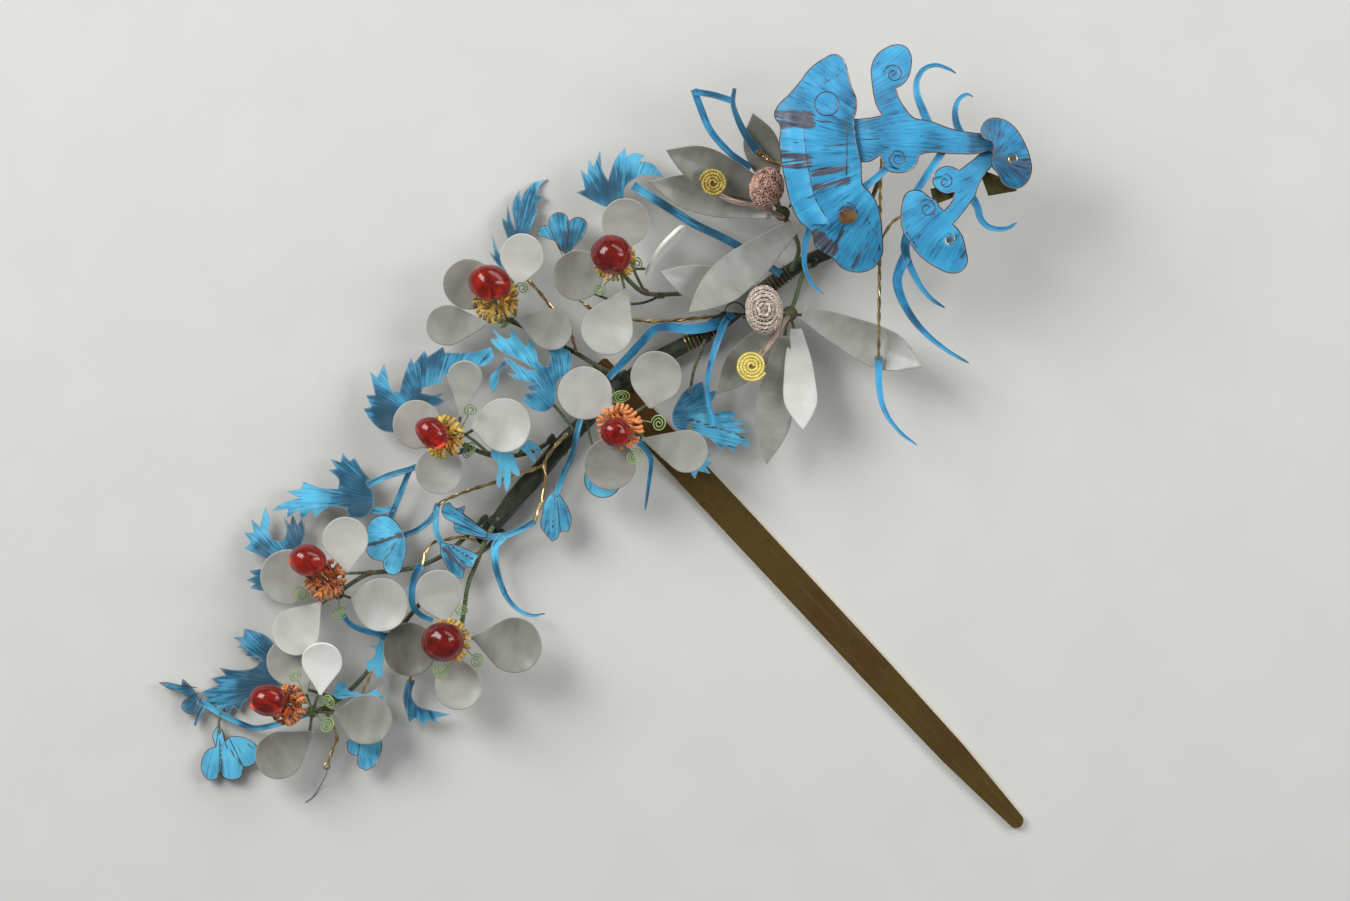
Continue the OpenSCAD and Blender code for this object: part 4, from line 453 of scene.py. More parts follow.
def bareness(p, worn):
    """How far the feather is gone at a point, from strokes of wear."""
    most = 0
    for start, end, half, depth in worn:
        start, way = Vector(start), Vector(end) - Vector(start)
        t = min(max((p - start).dot(way) / way.length_squared, 0), 1)
        most = max(most, depth * (1 - ((p - start - way * t).length / half) ** 2))
    return most


class Form:
    """Collects one piece: points in layout millimetres, faces, lengths along the surface, tones and finishes.

    A tone holds how pale a spot is drawn, painted light and shade included, how far it lies from its plate's edge,
    and how far its feather is worn off.
    """

    def __init__(self, seed, finish):
        self.points, self.tones, self.faces, self.lengths, self.finishes = [], [], [], [], []
        self.finish, self.tone = finish, (0.5, 1.0, 0.0)
        self.chance = random.Random(seed)

    def shade(self, pale):
        """Sets how pale the next parts are."""
        self.tone = (pale, 1, 0)

    def spots(self, points, tones=None):
        """Adds points and gives the number of the first."""
        first = len(self.points)
        self.points.extend(points)
        self.tones.extend(tones or [self.tone] * len(points))
        return first

    def face(self, corners, lengths):
        """Adds a face in the finish that is set."""
        self.faces.append(corners)
        self.lengths.append(lengths)
        self.finishes.append(self.finish)

    def skin(self, rings, along=None, spread=None, tones=None):
        """Joins rings of points; along is each ring's distance, or spread gives lengths point by point."""
        size, first = len(rings[0]), len(self.points)
        for number, ring in enumerate(rings):
            self.spots(ring, tones[number] if tones else None)
        for i in range(len(rings) - 1):
            for k in range(size):
                j = (k + 1) % size
                corners = [(i, k), (i, j), (i + 1, j), (i + 1, k)]
                if spread:
                    lengths = [spread[r][s] for r, s in corners]
                else:
                    lengths = [(along[i], k / size), (along[i], (k + 1) / size),
                               (along[i + 1], (k + 1) / size), (along[i + 1], k / size)]
                self.face([first + r * size + s for r, s in corners], lengths)
        for r, order in ((0, -1), (len(rings) - 1, 1)):
            corners = list(range(size))[::order]
            lengths = [spread[r][s] if spread else (along[r], s / size) for s in corners]
            self.face([first + r * size + s for s in corners], lengths)

    def tube(self, path, radius, sides=8, lobes=0, twist=0.0, level=0.0):
        """A round rod, or with level a flat strip of that half thickness, along a path."""
        path = [Vector(p[:3]) for p in path]
        radii = radius if hasattr(radius, "__len__") else [radius] * len(path)
        along, rings, side = [0.0], [], None
        for a, b in zip(path, path[1:]):
            along.append(along[-1] + (b - a).length)
        for i, p in enumerate(path):
            way = bearing(path, i)
            if level:
                side = way.cross(UP).normalized()
            else:
                side = way.orthogonal() if side is None else side
                side = (side - way * side.dot(way)).normalized()
            up = side.cross(way)
            ring = []
            for k in range(sides):
                a = 2 * math.pi * (k + 0.5) / sides
                r = radii[i] * (1 + 0.08 * math.cos(lobes * a + twist * along[i]) if lobes else 1)
                if level:
                    x, z = RIBBON[k]
                    ring.append(p + side * r * x + up * level * z)
                else:
                    ring.append(p + side * r * math.cos(a) + up * r * math.sin(a))
            rings.append(ring)
        if level:
            # A flat strip keeps real lengths across, and its tip is rubbed
            spread = [[(d, 20 * self.tone[0] + x * r) for x, _ in RIBBON] for d, r in zip(along, radii)]
            shades = [self.tone[0] + 0.9 * noise.noise(Vector((d / 5, 50 * self.tone[0], 0))) for d in along]
            rubbed = [max(0, 0.9 - along[-1] + d) * (radii[-1] < 0.3) for d in along]
            tones = [[(shade, float(abs(x) < 0.85), bare) for x, _ in RIBBON] for shade, bare in zip(shades, rubbed)]
            first = len(self.faces)
            self.skin(rings, spread=spread, tones=tones)
            self.finishes[first:first + (len(rings) - 1) * sides:sides] = [BACK] * (len(rings) - 1)
        else:
            self.skin(rings, along)
        return path

    def plate(self, corners, height, thickness, root, wave, gap=0.75, worn=(), rim=0.0, slits=False, pale=None,
              root_shade=0.0):
        """A thin plate inside an outline; height gives its top, and its lengths and its tone run out from a root."""
        line = soften(corners)
        root = Vector(root)
        near = KDTree(len(line))
        for i, p in enumerate(line):
            near.insert((p.x, p.y, 0), i)
        near.balance()
        low = Vector((min(p.x for p in line), min(p.y for p in line)))
        high = Vector((max(p.x for p in line), max(p.y for p in line)))
        inner = []
        for row in range(int((high.y - low.y) / gap) + 1):
            for column in range(int((high.x - low.x) / gap) + 1):
                p = low + Vector(((column + 0.5 * (row % 2)) * gap, row * gap))
                if near.find((p.x, p.y, 0))[2] > 0.5 * gap and within(p, line):
                    inner.append(p)
        count = len(line)
        spots, _, faces, *_ = delaunay_2d_cdt(
            line + inner, [(i, (i + 1) % count) for i in range(count)], [list(range(count))], 1, 1e-5)
        mean = sum((p - root).length for p in line) / count
        tone = self.tone[0]

        def top(p):
            return Vector((p.x, p.y, height(p) + 2 * wave * noise.noise(Vector((p.x, p.y, 3)) / 3.5)))

        tops, tones, spread = [top(p) for p in spots], [], []
        for p in spots:
            out = p - root
            angle = math.atan2(out.y, out.x) % (2 * math.pi) if out.x < 0 else math.atan2(out.y, out.x)
            # Painted shade and light: the first term darkens the tone towards the root and lightens it towards the
            # tips; pale() lightens given spots
            light_and_shade = root_shade * (out.length / mean - 0.75) + (pale(p) if pale else 0)
            tones.append((tone + light_and_shade, min(near.find((p.x, p.y, 0))[2] / 1.2, 1), bareness(p, worn)))
            spread.append((out.length, angle * mean))
        first = self.spots(tops, tones)
        under = self.spots([p - UP * thickness for p in tops], tones)
        edges = {(a, b) for f in faces for a, b in zip(f, f[1:] + f[:1])}
        for f in faces:
            self.face([first + i for i in f], [spread[i] for i in f])
        self.finish, kept = BACK, self.finish
        for f in faces:
            self.face([under + i for i in reversed(f)], [spread[i] for i in reversed(f)])
        for a, b in sorted(edges):
            if (b, a) not in edges:
                self.face([first + b, first + a, under + a, under + b],
                          [spread[b], spread[a], spread[a], spread[b]])
        self.finish = EDGE
        if rim:
            edge = [top(p) - UP * rim * 0.3 for p in line]
            self.tube(edge + edge[:2], rim, 5)
        if slits:
            # A wire runs in from each notch of the outline and parts the lobes
            turn = sum(a.xy.cross(b.xy) for a, b in zip(corners, corners[1:] + corners[:1]))
            for i, here in enumerate(corners):
                back, on = (here - corners[i - 1]).xy, (corners[(i + 1) % len(corners)] - here).xy
                if back.angle(on, 0) > 0.55 and back.cross(on) * turn < 0:
                    cut = [here.xy.lerp(root, t) for t in (0, 0.15, 0.3, 0.45, 0.6)]
                    self.tube([top(p) for p in cut], rim * 1.1, 5)
        self.finish = kept
        return top


def plate_outline(node, heart, bend=2.0):
    """The corners of the CAD plate under a point, over joints that bend less, and its top's height."""
    solid = bmesh.new()
    solid.from_mesh(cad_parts[node].data)
    for v in solid.verts:
        v.co = v.co * 1000 + MIDDLE
    bmesh.ops.remove_doubles(solid, verts=solid.verts, dist=0.001)
    solid.normal_update()
    solid.faces.ensure_lookup_table()
    spot, normal, number, _ = BVHTree.FromBMesh(solid).ray_cast(Vector((*heart, 100)), -UP)
    if spot is None:
        raise ValueError(f"there is no plate of {node} under {heart}")
    # The top's faces, kept in the order they are reached, so that its outline always starts at the same corner
    tops, queue = {}, [solid.faces[number]]
    while queue:
        f = queue.pop()
        if f not in tops:
            tops[f] = True
            queue.extend(g for e in f.edges for g in e.link_faces
                         if g not in tops and math.degrees(g.normal.angle(f.normal, 0)) < bend)
    after = {}
    for f in tops:
        for corner in f.loops:
            if not any(g in tops for g in corner.edge.link_faces if g != f):
                after[corner.vert] = corner.link_loop_next.vert
    lines = []
    while after:
        v, line = next(iter(after)), []
        while v in after:
            line.append(v.co.copy())
            v = after.pop(v)
        lines.append(line)
    solid.free()
    corners = max(lines, key=len)
    kept = []
    for i, here in enumerate(corners):
        back, on = corners[i - 1], corners[(i + 1) % len(corners)]
        chord = (on - back).xy
        if abs(chord.cross((here - back).xy)) / max(chord.length, 1e-6) > 0.02:
            kept.append(here)
    return kept, lambda p: spot.z - (normal.x * (p.x - spot.x) + normal.y * (p.y - spot.y)) / normal.z


def piece(name, form, slot, *replaced):
    """Turns a collected form into a scene object that rides on the ornament."""
    mesh = bpy.data.meshes.new(name)
    mesh.from_pydata([place(p) for p in form.points], [], form.faces)
    along = mesh.uv_layers.new(name="along")
    along.data.foreach_set("uv", [n for face in form.lengths for pair in face for n in pair])
    tone = mesh.color_attributes.new("tone", "FLOAT_COLOR", "POINT")
    tone.data.foreach_set("color", [n for t in form.tones for n in (*t, 1)])
    used = sorted(set(form.finishes), key=list(FINISHES).index)
    mesh.polygons.foreach_set("material_index", [used.index(finish) for finish in form.finishes])
    for finish in used:
        mesh.materials.append(FINISHES[finish])
    work = bmesh.new()
    work.from_mesh(mesh)
    bmesh.ops.recalc_face_normals(work, faces=work.faces)
    work.to_mesh(mesh)
    work.free()
    mesh.shade_smooth()
    mesh.set_sharp_from_angle(angle=math.radians(40))
    made = bpy.data.objects.new(name, mesh)
    bpy.context.scene.collection.objects.link(made)
    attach(made, "root")
    if replaced:
        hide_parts(*replaced)
    return made


# Finishes

def paint(code):
    """An sRGB hex colour as linear red, green, blue and alpha."""
    parts = [int(code[i:i + 2], 16) / 255 for i in (1, 3, 5)]
    return [c / 12.92 if c <= 0.04045 else ((c + 0.055) / 1.055) ** 2.4 for c in parts] + [1]


def add(tree, kind, inputs=None, **settings):
    """Adds a shader node, sets it up, and fills or links its inputs.

    Sockets without a name of their own go by number. A Mix has its share at 0 and its two colours at 6 and 7,
    and gives the colour at 2. A MapRange has the value at 0, the range it comes from at 1 and 2, and the range
    it goes to at 3 and 4.
    """
    made = tree.nodes.new("ShaderNode" + kind)
    for key, value in settings.items():
        setattr(made, key, value)
    for key, value in (inputs or {}).items():
        if isinstance(value, bpy.types.NodeSocket):
            tree.links.new(value, made.inputs[key])
        else:
            made.inputs[key].default_value = value
    return made.outputs


FINISHES = {}


def new_finish(name):
    """Starts a finish and gives its empty node tree."""
    made = bpy.data.materials.new(name)
    made.use_nodes = True
    made.node_tree.nodes.clear()
    FINISHES[name] = made
    return made.node_tree


def wound_thread(name, dark, light, pitch, roughness=0.62, sheen=0.25, depth=0.12, stripe=1.0):
    """Silk or cotton thread, spun and wound: slanting lines a pitch of millimetres apart, soft sheen, uneven dye."""
    tree = new_finish(name)
    along = add(tree, "SeparateXYZ", {0: add(tree, "UVMap", uv_map="along")[0]})
    dye = add(tree, "TexNoise", {"Vector": add(tree, "TexCoord")[3], "Scale": 900, "Detail": 3})[0]
    turns = add(tree, "Math", {0: along[0], 1: pitch}, operation="DIVIDE")[0]
    slanted = add(tree, "Math", {0: turns, 1: along[1]}, operation="ADD")[0]
    uneven = add(tree, "Math", {0: dye, 1: 0.6, 2: slanted}, operation="MULTIPLY_ADD")[0]
    # Painted light and shade: each turn is drawn pale along its middle and dark where it meets the next
    thread = add(tree, "Math", {0: uneven, 1: 0.5}, operation="PINGPONG")[0]
    tone = add(tree, "SeparateColor", {0: add(tree, "Attribute", attribute_name="tone")[0]})[0]
    dyed = add(tree, "Math", {0: tone, 1: 0.5, 2: dye}, operation="MULTIPLY_ADD")[0]
    tone_and_light = add(tree, "Math", {0: thread, 1: stripe, 2: dyed}, operation="MULTIPLY_ADD")[0]
    share = add(tree, "MapRange", {0: tone_and_light, 1: 0.45, 2: 1.35})[0]
    colour = add(tree, "Mix", {0: share, 6: paint(dark), 7: paint(light)}, data_type="RGBA")[2]
    bump = add(tree, "Bump", {"Distance": depth / 1000, "Height": thread})[0]
    shader = add(tree, "BsdfPrincipled", {
        "Base Color": colour, "Roughness": roughness, "Sheen Weight": sheen, "Sheen Roughness": 0.4, "Normal": bump})
    add(tree, "OutputMaterial", {"Surface": shader[0]})


def metal(name, dark, light, roughness, scale, rubbing=None):
    """Worked metal: a bright face, darker where tarnish lies; rubbing lines run on their own turn, in degrees, with a
    painted highlight on sloping faces.
    """
    tree = new_finish(name)
    spot = add(tree, "TexCoord")[3]
    cloudy = add(tree, "TexNoise", {"Vector": spot, "Scale": scale, "Detail": 5, "Roughness": 0.65})[0]
    tarnish = add(tree, "MapRange", {0: cloudy, 1: 0.35, 2: 0.7})[0]
    colour = add(tree, "Mix", {0: tarnish, 6: paint(light), 7: paint(dark)}, data_type="RGBA")[2]
    worn = add(tree, "MapRange", {0: cloudy, 1: 0.3, 2: 0.8, 3: roughness - 0.1, 4: roughness + 0.2})[0]
    pits = add(tree, "TexNoise", {"Vector": spot, "Scale": 2500, "Detail": 2})[0]
    bump = add(tree, "Bump", {"Strength": 0.5, "Distance": 0.00003, "Height": pits})[0]
    if rubbing is not None:
        broad = add(tree, "TexNoise", {"Vector": spot, "Scale": 42, "Detail": 2})[0]
        aged = add(tree, "MapRange", {0: broad, 1: 0.4, 2: 0.6})[0]
        tint = add(tree, "Mix", {0: aged, 6: paint("#F2D8D0"), 7: paint("#FFFCDC")}, data_type="RGBA")[2]
        colour = add(tree, "Mix", {0: 1.0, 6: colour, 7: tint}, data_type="RGBA", blend_type="MULTIPLY")[2]
        line = add(tree, "VectorRotate", {0: spot, "Angle": math.radians(rubbing)}, rotation_type="Z_AXIS")[0]
        drawn = add(tree, "VectorMath", {0: line, 1: (40, 2600, 1)}, operation="MULTIPLY")[0]
        rubbed = add(tree, "TexNoise", {"Vector": drawn, "Scale": 1, "Detail": 3})[0]
        bright = add(tree, "MapRange", {0: rubbed, 1: 0.58, 2: 0.75, 3: 0, 4: 0.5})[0]
        colour = add(tree, "Mix", {0: bright, 6: colour, 7: paint("#A48A58")}, data_type="RGBA")[2]
        # Painted highlight: faces that slope away from level, the bevels and sides, are drawn pale gold as if they
        # caught the light
        level = add(tree, "SeparateXYZ", {0: add(tree, "NewGeometry")[1]})[2]
        flatness = add(tree, "Math", {0: level}, operation="ABSOLUTE")[0]
        edge_highlight = add(tree, "MapRange", {0: flatness, 1: 0.97, 2: 0.8, 3: 0, 4: 0.9})[0]
        colour = add(tree, "Mix", {0: edge_highlight, 6: colour, 7: paint("#E0C48A")}, data_type="RGBA")[2]
        bump = add(tree, "Bump", {"Strength": 0.4, "Distance": 0.00004, "Height": rubbed, "Normal": bump})[0]
    shader = add(tree, "BsdfPrincipled", {"Base Color": colour, "Metallic": 1.0, "Roughness": worn, "Normal": bump})
    add(tree, "OutputMaterial", {"Surface": shader[0]})


def mother_of_pearl(colours):
    """Mother of pearl, sawn and polished: cool grey satin, each petal paler or darker partly as painted light and
    shade, faint growth bands.
    """
    tree = new_finish("mother_of_pearl")
    tone = add(tree, "SeparateColor", {0: add(tree, "Attribute", attribute_name="tone")[0]})
    local = add(tree, "UVMap", uv_map="along")[0]
    bent = add(tree, "VectorMath", {0: local, 1: (0.3, 0.12, 1)}, operation="MULTIPLY")[0]
    bands = add(tree, "TexNoise", {"Vector": bent, "Scale": 1, "Detail": 3})[0]
    milky = add(tree, "TexNoise", {"Vector": add(tree, "TexCoord")[3], "Scale": 110, "Detail": 3})[0]
    cloud = add(tree, "Math", {0: bands, 1: milky}, operation="ADD")[0]
    drift = add(tree, "MapRange", {0: cloud, 1: 0.6, 2: 1.4, 3: -0.12, 4: 0.12})[0]
    paleness = add(tree, "Math", {0: drift, 1: tone[0]}, operation="ADD", use_clamp=True)[0]
    body = add(tree, "Mix", {0: paleness, 6: colours.shell_shade, 7: colours.shell_light}, data_type="RGBA")[2]
    bluish = add(tree, "MapRange", {0: milky, 1: 0.45, 2: 0.75, 3: 0, 4: 0.3})[0]
    tinted = add(tree, "Mix", {0: bluish, 6: body, 7: paint("#DCE6EE")}, data_type="RGBA", blend_type="MULTIPLY")[2]
    # Painted highlight: a pale line along each petal's rim, where the cut edge would catch the light
    edge = add(tree, "MapRange", {0: tone[1], 1: 0.965, 2: 0.99, 3: 0, 4: 0.35})[0]
    colour = add(tree, "Mix", {0: edge, 6: tinted, 7: paint("#D8D2BE")}, data_type="RGBA")[2]
    bump = add(tree, "Bump", {"Strength": 0.3, "Distance": 0.00008, "Height": bands})[0]
    shader = add(tree, "BsdfPrincipled", {
        "Base Color": colour, "Roughness": 0.36, "IOR": 1.53, "Coat Weight": 0.2, "Coat Roughness": 0.25,
        "Subsurface Weight": 0.1, "Subsurface Radius": (0.0012, 0.0011, 0.0009), "Normal": bump})
    add(tree, "OutputMaterial", {"Surface": shader[0]})


def ruby_glass(colours):
    """Ruby glass, drawn and cut: deep clear red with flaws inside, wet shine."""
    tree = new_finish("ruby_glass")
    spot = add(tree, "TexCoord")[3]
    cloudy = add(tree, "TexNoise", {"Vector": spot, "Scale": 420, "Detail": 4, "Roughness": 0.6})
    share = add(tree, "MapRange", {0: cloudy[0], 1: 0.35, 2: 0.65})[0]
    deep = add(tree, "Mix", {0: share, 6: colours.ruby_deep, 7: colours.ruby_bright}, data_type="RGBA")[2]
    warp = (0.0012, 0.0012, 0.0012)
    warped = add(tree, "VectorMath", {0: cloudy[1], 1: warp, 2: spot}, operation="MULTIPLY_ADD")[0]
    veins = add(tree, "TexVoronoi", {"Vector": warped, "Scale": 460}, feature="DISTANCE_TO_EDGE")[0]
    crazed = add(tree, "MapRange", {0: veins, 1: 0.0, 2: 0.06, 3: 0.4, 4: 0})[0]
    colour = add(tree, "Mix", {0: crazed, 6: deep, 7: paint("#D2452F")}, data_type="RGBA")[2]
    bump = add(tree, "Bump", {"Strength": 0.3, "Distance": 0.0001, "Height": cloudy[0]})[0]
    shader = add(tree, "BsdfPrincipled", {
        "Base Color": colour, "Roughness": 0.15, "IOR": 1.52, "Transmission Weight": 0.85, "Normal": bump})
    add(tree, "OutputMaterial", {"Surface": shader[0]})


def feather_finish(name, light, shade, streaky, uneven):
    """Kingfisher feather glued over gilt copper: satin blue in fine barbs, with patches of painted light and painted
    teal shade.

    A barb is 0.1 mm; they are drawn 0.4 mm apart so that they show, with the slits and the brown worn places of
    old feather.
    """
    tree = new_finish(name)
    tone = add(tree, "SeparateColor", {0: add(tree, "Attribute", attribute_name="tone")[0]})
    local = add(tree, "UVMap", uv_map="along")[0]
    drawn = add(tree, "VectorMath", {0: local, 1: (0.16, 2.5, 1)}, operation="MULTIPLY")[0]
    barbs = add(tree, "TexNoise", {"Vector": drawn, "Scale": 1, "Detail": 2})[0]
    split = add(tree, "VectorMath", {0: local, 1: (0.2, 1.5, 1)}, operation="MULTIPLY")[0]
    slits = add(tree, "TexNoise", {"Vector": split, "Scale": 1, "Detail": 2})[0]
    # Large soft patches of painted light and shade: paler in some places, deeper and towards teal in others
    light_shade_patches = add(tree, "TexNoise", {"Vector": add(tree, "TexCoord")[3], "Scale": 150, "Detail": 2})[0]
    streaked = add(tree, "MapRange", {0: barbs, 3: -streaky, 4: streaky}, clamp=False)[0]
    patched = add(tree, "MapRange", {0: light_shade_patches, 3: -uneven, 4: uneven}, clamp=False)[0]
    mottled = add(tree, "Math", {0: patched, 1: streaked}, operation="ADD")[0]
    tone_and_light = add(tree, "Math", {0: tone[0], 1: 0.9, 2: mottled}, operation="MULTIPLY_ADD")[0]
    share = add(tree, "MapRange", {0: tone_and_light, 1: -0.1, 2: 1.3})[0]
    blue = add(tree, "Mix", {0: share, 6: shade, 7: light}, data_type="RGBA")[2]
    shadow = add(tree, "MapRange", {0: tone_and_light, 1: 0.3, 2: -0.45, 3: 0, 4: 0.9})[0]
    teal = add(tree, "Mix", {0: shadow, 6: blue, 7: paint("#12465C")}, data_type="RGBA")[2]
    torn = add(tree, "MapRange", {0: slits, 1: 0.63, 2: 0.69, 3: 0, 4: 0.8})[0]
    slitted = add(tree, "Mix", {0: torn, 6: teal, 7: paint("#12303F")}, data_type="RGBA")[2]
    rubbed = add(tree, "MapRange", {0: tone[1], 1: 0.0, 2: 0.3, 3: 0.5, 4: 0})[0]
    fringe = add(tree, "Mix", {0: rubbed, 6: slitted, 7: paint("#8FA2AC")}, data_type="RGBA")[2]
    frayed = add(tree, "Math", {0: barbs, 1: slits}, operation="ADD")[0]
    strokes = add(tree, "Math", {0: frayed, 1: 1.7, 2: tone[2]}, operation="MULTIPLY_ADD")[0]
    shown = add(tree, "MapRange", {0: strokes, 1: 2.25, 2: 2.6, 4: 0.92})[0]
    tarnish = add(tree, "MapRange", {0: frayed, 1: 0.75, 2: 1.25})[0]
    sheet = add(tree, "Mix", {0: tarnish, 6: paint("#6E6166"), 7: paint("#231C22")}, data_type="RGBA")[2]
    colour = add(tree, "Mix", {0: shown, 6: fringe, 7: sheet}, data_type="RGBA")[2]
    bump = add(tree, "Bump", {"Strength": 0.8, "Distance": 0.0001, "Height": barbs})[0]
    shader = add(tree, "BsdfPrincipled", {
        "Base Color": colour, "Roughness": 0.48, "Sheen Weight": 0.08, "Sheen Roughness": 0.35,
        "Coat Weight": 0.06, "Coat Roughness": 0.35, "Normal": bump})
    add(tree, "OutputMaterial", {"Surface": shader[0]})


def matt_card():
    """Matt card of the stage: pale warm grey, faintly mottled."""
    tree = new_finish("matt_card")
    mottle = add(tree, "TexNoise", {"Vector": add(tree, "TexCoord")[3], "Scale": 60, "Detail": 3})[0]
    colour = add(tree, "Mix", {0: mottle, 6: paint("#CFCFCB"), 7: paint("#D7D7D3")}, data_type="RGBA")[2]
    shader = add(tree, "BsdfPrincipled", {"Base Color": colour, "Roughness": 0.9})
    add(tree, "OutputMaterial", {"Surface": shader[0]})


def make_finishes(colours):
    """All the finishes of the ornament."""
    # Cast and hammered brass, dark with handling: a warm dull face, long rubbing lines and a painted highlight on its
    # edges
    metal("aged_brass", "#55462E", "#806A46", roughness=0.42, scale=260, rubbing=47)
    # Gilt copper wire: bright yellow metal with darker worn spots
    metal("gilt_copper", "#7C5E34", "#E6CB92", roughness=0.27, scale=500)
    # Edge wires of the feather plates: thin gilding, rubbed down to rosy brown copper
    metal("worn_gilt", "#40302C", "#8C7068", roughness=0.42, scale=700)
    # Gilt sheet under the feathers, seen where they have come away: dull olive gold
    metal("bare_gilt_sheet", "#33301E", "#5C5636", roughness=0.55, scale=500)
    # Copper disc of the cloud plate, its gilding gone: warm brown, dull
    metal("bare_copper", "#6A4C30", "#9C7C52", roughness=0.5, scale=600)
    # Drawn iron wire, blued: almost black with a faint shine
    metal("iron_wire", "#17161A", "#3A3836", roughness=0.45, scale=900)

    # Floss silk wound round the stem: dark green with paler turns, 0.35 mm a turn, drawn at 0.5 mm to show
    wound_thread("green_floss", "#0A0E08", "#313D24", pitch=0.5)
    # Pale wrapped wire of the twigs: grey-green paper and silk, turned 0.6 mm apart
    wound_thread("twig_silk", "#232817", "#727F55", pitch=0.6)
    # Silk of the bindings and under the discs: dull brown turns, tan where they catch the light
    wound_thread("brown_silk", "#2C1C12", "#8A6247", pitch=0.5)
    # Chenille loops: thick soft thread, deep orange or golden yellow, 0.5 mm a twist
    wound_thread("orange_chenille", "#3C0E02", "#FA9E5A", pitch=0.5, roughness=0.8, sheen=0.2, stripe=0.7)
    wound_thread("yellow_chenille", "#3C2604", "#F6CE5E", pitch=0.5, roughness=0.8, sheen=0.2, stripe=0.7)
    # Silk cord of the discs: clear yellow, two-ply, 0.6 mm a twist
    wound_thread("yellow_cord", "#866612", "#FFEE80", pitch=0.6, roughness=0.65, sheen=0.2, stripe=0.6)
    # Silk-covered wire of the coils: fresh pale green, fine turns drawn at 0.3 mm
    wound_thread("pale_green_wire", "#2A4A1B", "#A6C97C", pitch=0.3, roughness=0.5, sheen=0.2, depth=0.04)
    # Knotted silk: dusty pink or beige, each stitch with its own shade
    wound_thread("pink_knots", "#521A12", "#FFCFBA", pitch=0.4, roughness=0.7, sheen=0.3, stripe=0.7)
    wound_thread("beige_knots", "#583628", "#FFF0DE", pitch=0.4, roughness=0.7, sheen=0.3, stripe=0.6)
    # Thread wound round the discs' stalks: pale beige, matt
    wound_thread("beige_thread", "#6A5244", "#CDB3A2", pitch=0.4, roughness=0.7, sheen=0.3)
    # Loose thread end: dusty grey, matt
    wound_thread("grey_thread", "#4A4845", "#8E8B86", pitch=0.3, roughness=0.8, sheen=0.2)
    # Brown pad inside the knots, hardly seen; drawn near black, painted shade in the gaps between the stitches
    wound_thread("pad_thread", "#120705", "#301610", pitch=0.6, roughness=0.85, sheen=0.1)

    mother_of_pearl(colours)
    ruby_glass(colours)
    # Feather of the clouds and tendrils: clear blue
    feather_finish("kingfisher_feather", colours.feather_light, colours.feather_shade, streaky=0.85, uneven=1.3)
    # Feather of the leaves and small blossoms: duller and greener, with more dark streaks and stronger patches of
    # painted light and shade
    feather_finish("leaf_feather", colours.leaf_light, colours.leaf_shade, streaky=1.05, uneven=1.8)
    matt_card()


# Settings that a user would change

COLOUR = {"subtype": "COLOR", "size": 4, "min": 0, "max": 1}
LENGTH = {"precision": 5, "unit": "LENGTH"}


class OrnamentColours(bpy.types.PropertyGroup):
    """Colours of the main finishes."""
    feather_light: bpy.props.FloatVectorProperty(
        name="Feather light", description="Blue of the feather where the light lies on it",
        default=paint("#43B2E3"), **COLOUR)
    # The shade blues also give the painted shade in the feathers' darker patches
    feather_shade: bpy.props.FloatVectorProperty(
        name="Feather shade", description="Blue of the feather between the barbs",
        default=paint("#2076A4"), **COLOUR)
    leaf_light: bpy.props.FloatVectorProperty(
        name="Leaf light", description="Blue of the leaves' feather where the light lies on it",
        default=paint("#5FC6EC"), **COLOUR)
    leaf_shade: bpy.props.FloatVectorProperty(
        name="Leaf shade", description="Blue of the leaves' feather between the barbs",
        default=paint("#226E92"), **COLOUR)
    shell_light: bpy.props.FloatVectorProperty(
        name="Shell light", description="Mother of pearl of the palest petal",
        default=paint("#F8F8F0"), **COLOUR)
    # The darkest petal lies in shade, so this colour holds painted shade
    shell_shade: bpy.props.FloatVectorProperty(
        name="Shell shade", description="Mother of pearl of the darkest petal",
        default=paint("#4F4D3F"), **COLOUR)
    ruby_bright: bpy.props.FloatVectorProperty(
        name="Ruby bright", description="Bright red of the glass beads",
        default=paint("#E6361E"), **COLOUR)
    ruby_deep: bpy.props.FloatVectorProperty(
        name="Ruby deep", description="Deep red of the glass beads",
        default=paint("#96160C"), **COLOUR)


class OrnamentSizes(bpy.types.PropertyGroup):
    """Sizes of the fine parts that the solids leave out."""
    rim_gauge: bpy.props.FloatProperty(
        name="Rim gauge", description="Radius of the edge wire round a feather plate",
        default=0.00008, min=0.00004, max=0.0002, **LENGTH)
    loop_gauge: bpy.props.FloatProperty(
        name="Loop gauge", description="Radius of the chenille thread in a ruff",
        default=0.00037, min=0.0002, max=0.0005, **LENGTH)
    stitch_gauge: bpy.props.FloatProperty(
        name="Stitch gauge", description="Radius of a stitch in a silk knot",
        default=0.00034, min=0.0002, max=0.0006, **LENGTH)
    coil_gauge: bpy.props.FloatProperty(
        name="Coil gauge", description="Radius of the green wire in a coil",
        default=0.000135, min=0.00006, max=0.00015, **LENGTH)
    loops: bpy.props.IntProperty(
        name="Loops", description="Thread loops in the outer row of a ruff", default=26, min=12, max=32)
    blade_edge: bpy.props.FloatProperty(
        name="Blade edge", description="Rounding of the brass blade's edges",
        default=0.00035, min=0.0001, max=0.0005, **LENGTH)


def gauge_of(name):
    """A size setting in millimetres."""
    return getattr(bpy.context.scene.ornament_sizes, name) * 1000


# Operators, one for each piece or group of like pieces

class ORNAMENT_OT_finishes(bpy.types.Operator):
    """Make the finishes"""
    bl_idname = "ornament.finishes"
    bl_label = "Finishes"

    def execute(self, context):
        make_finishes(context.scene.ornament_colours)
        return {"FINISHED"}


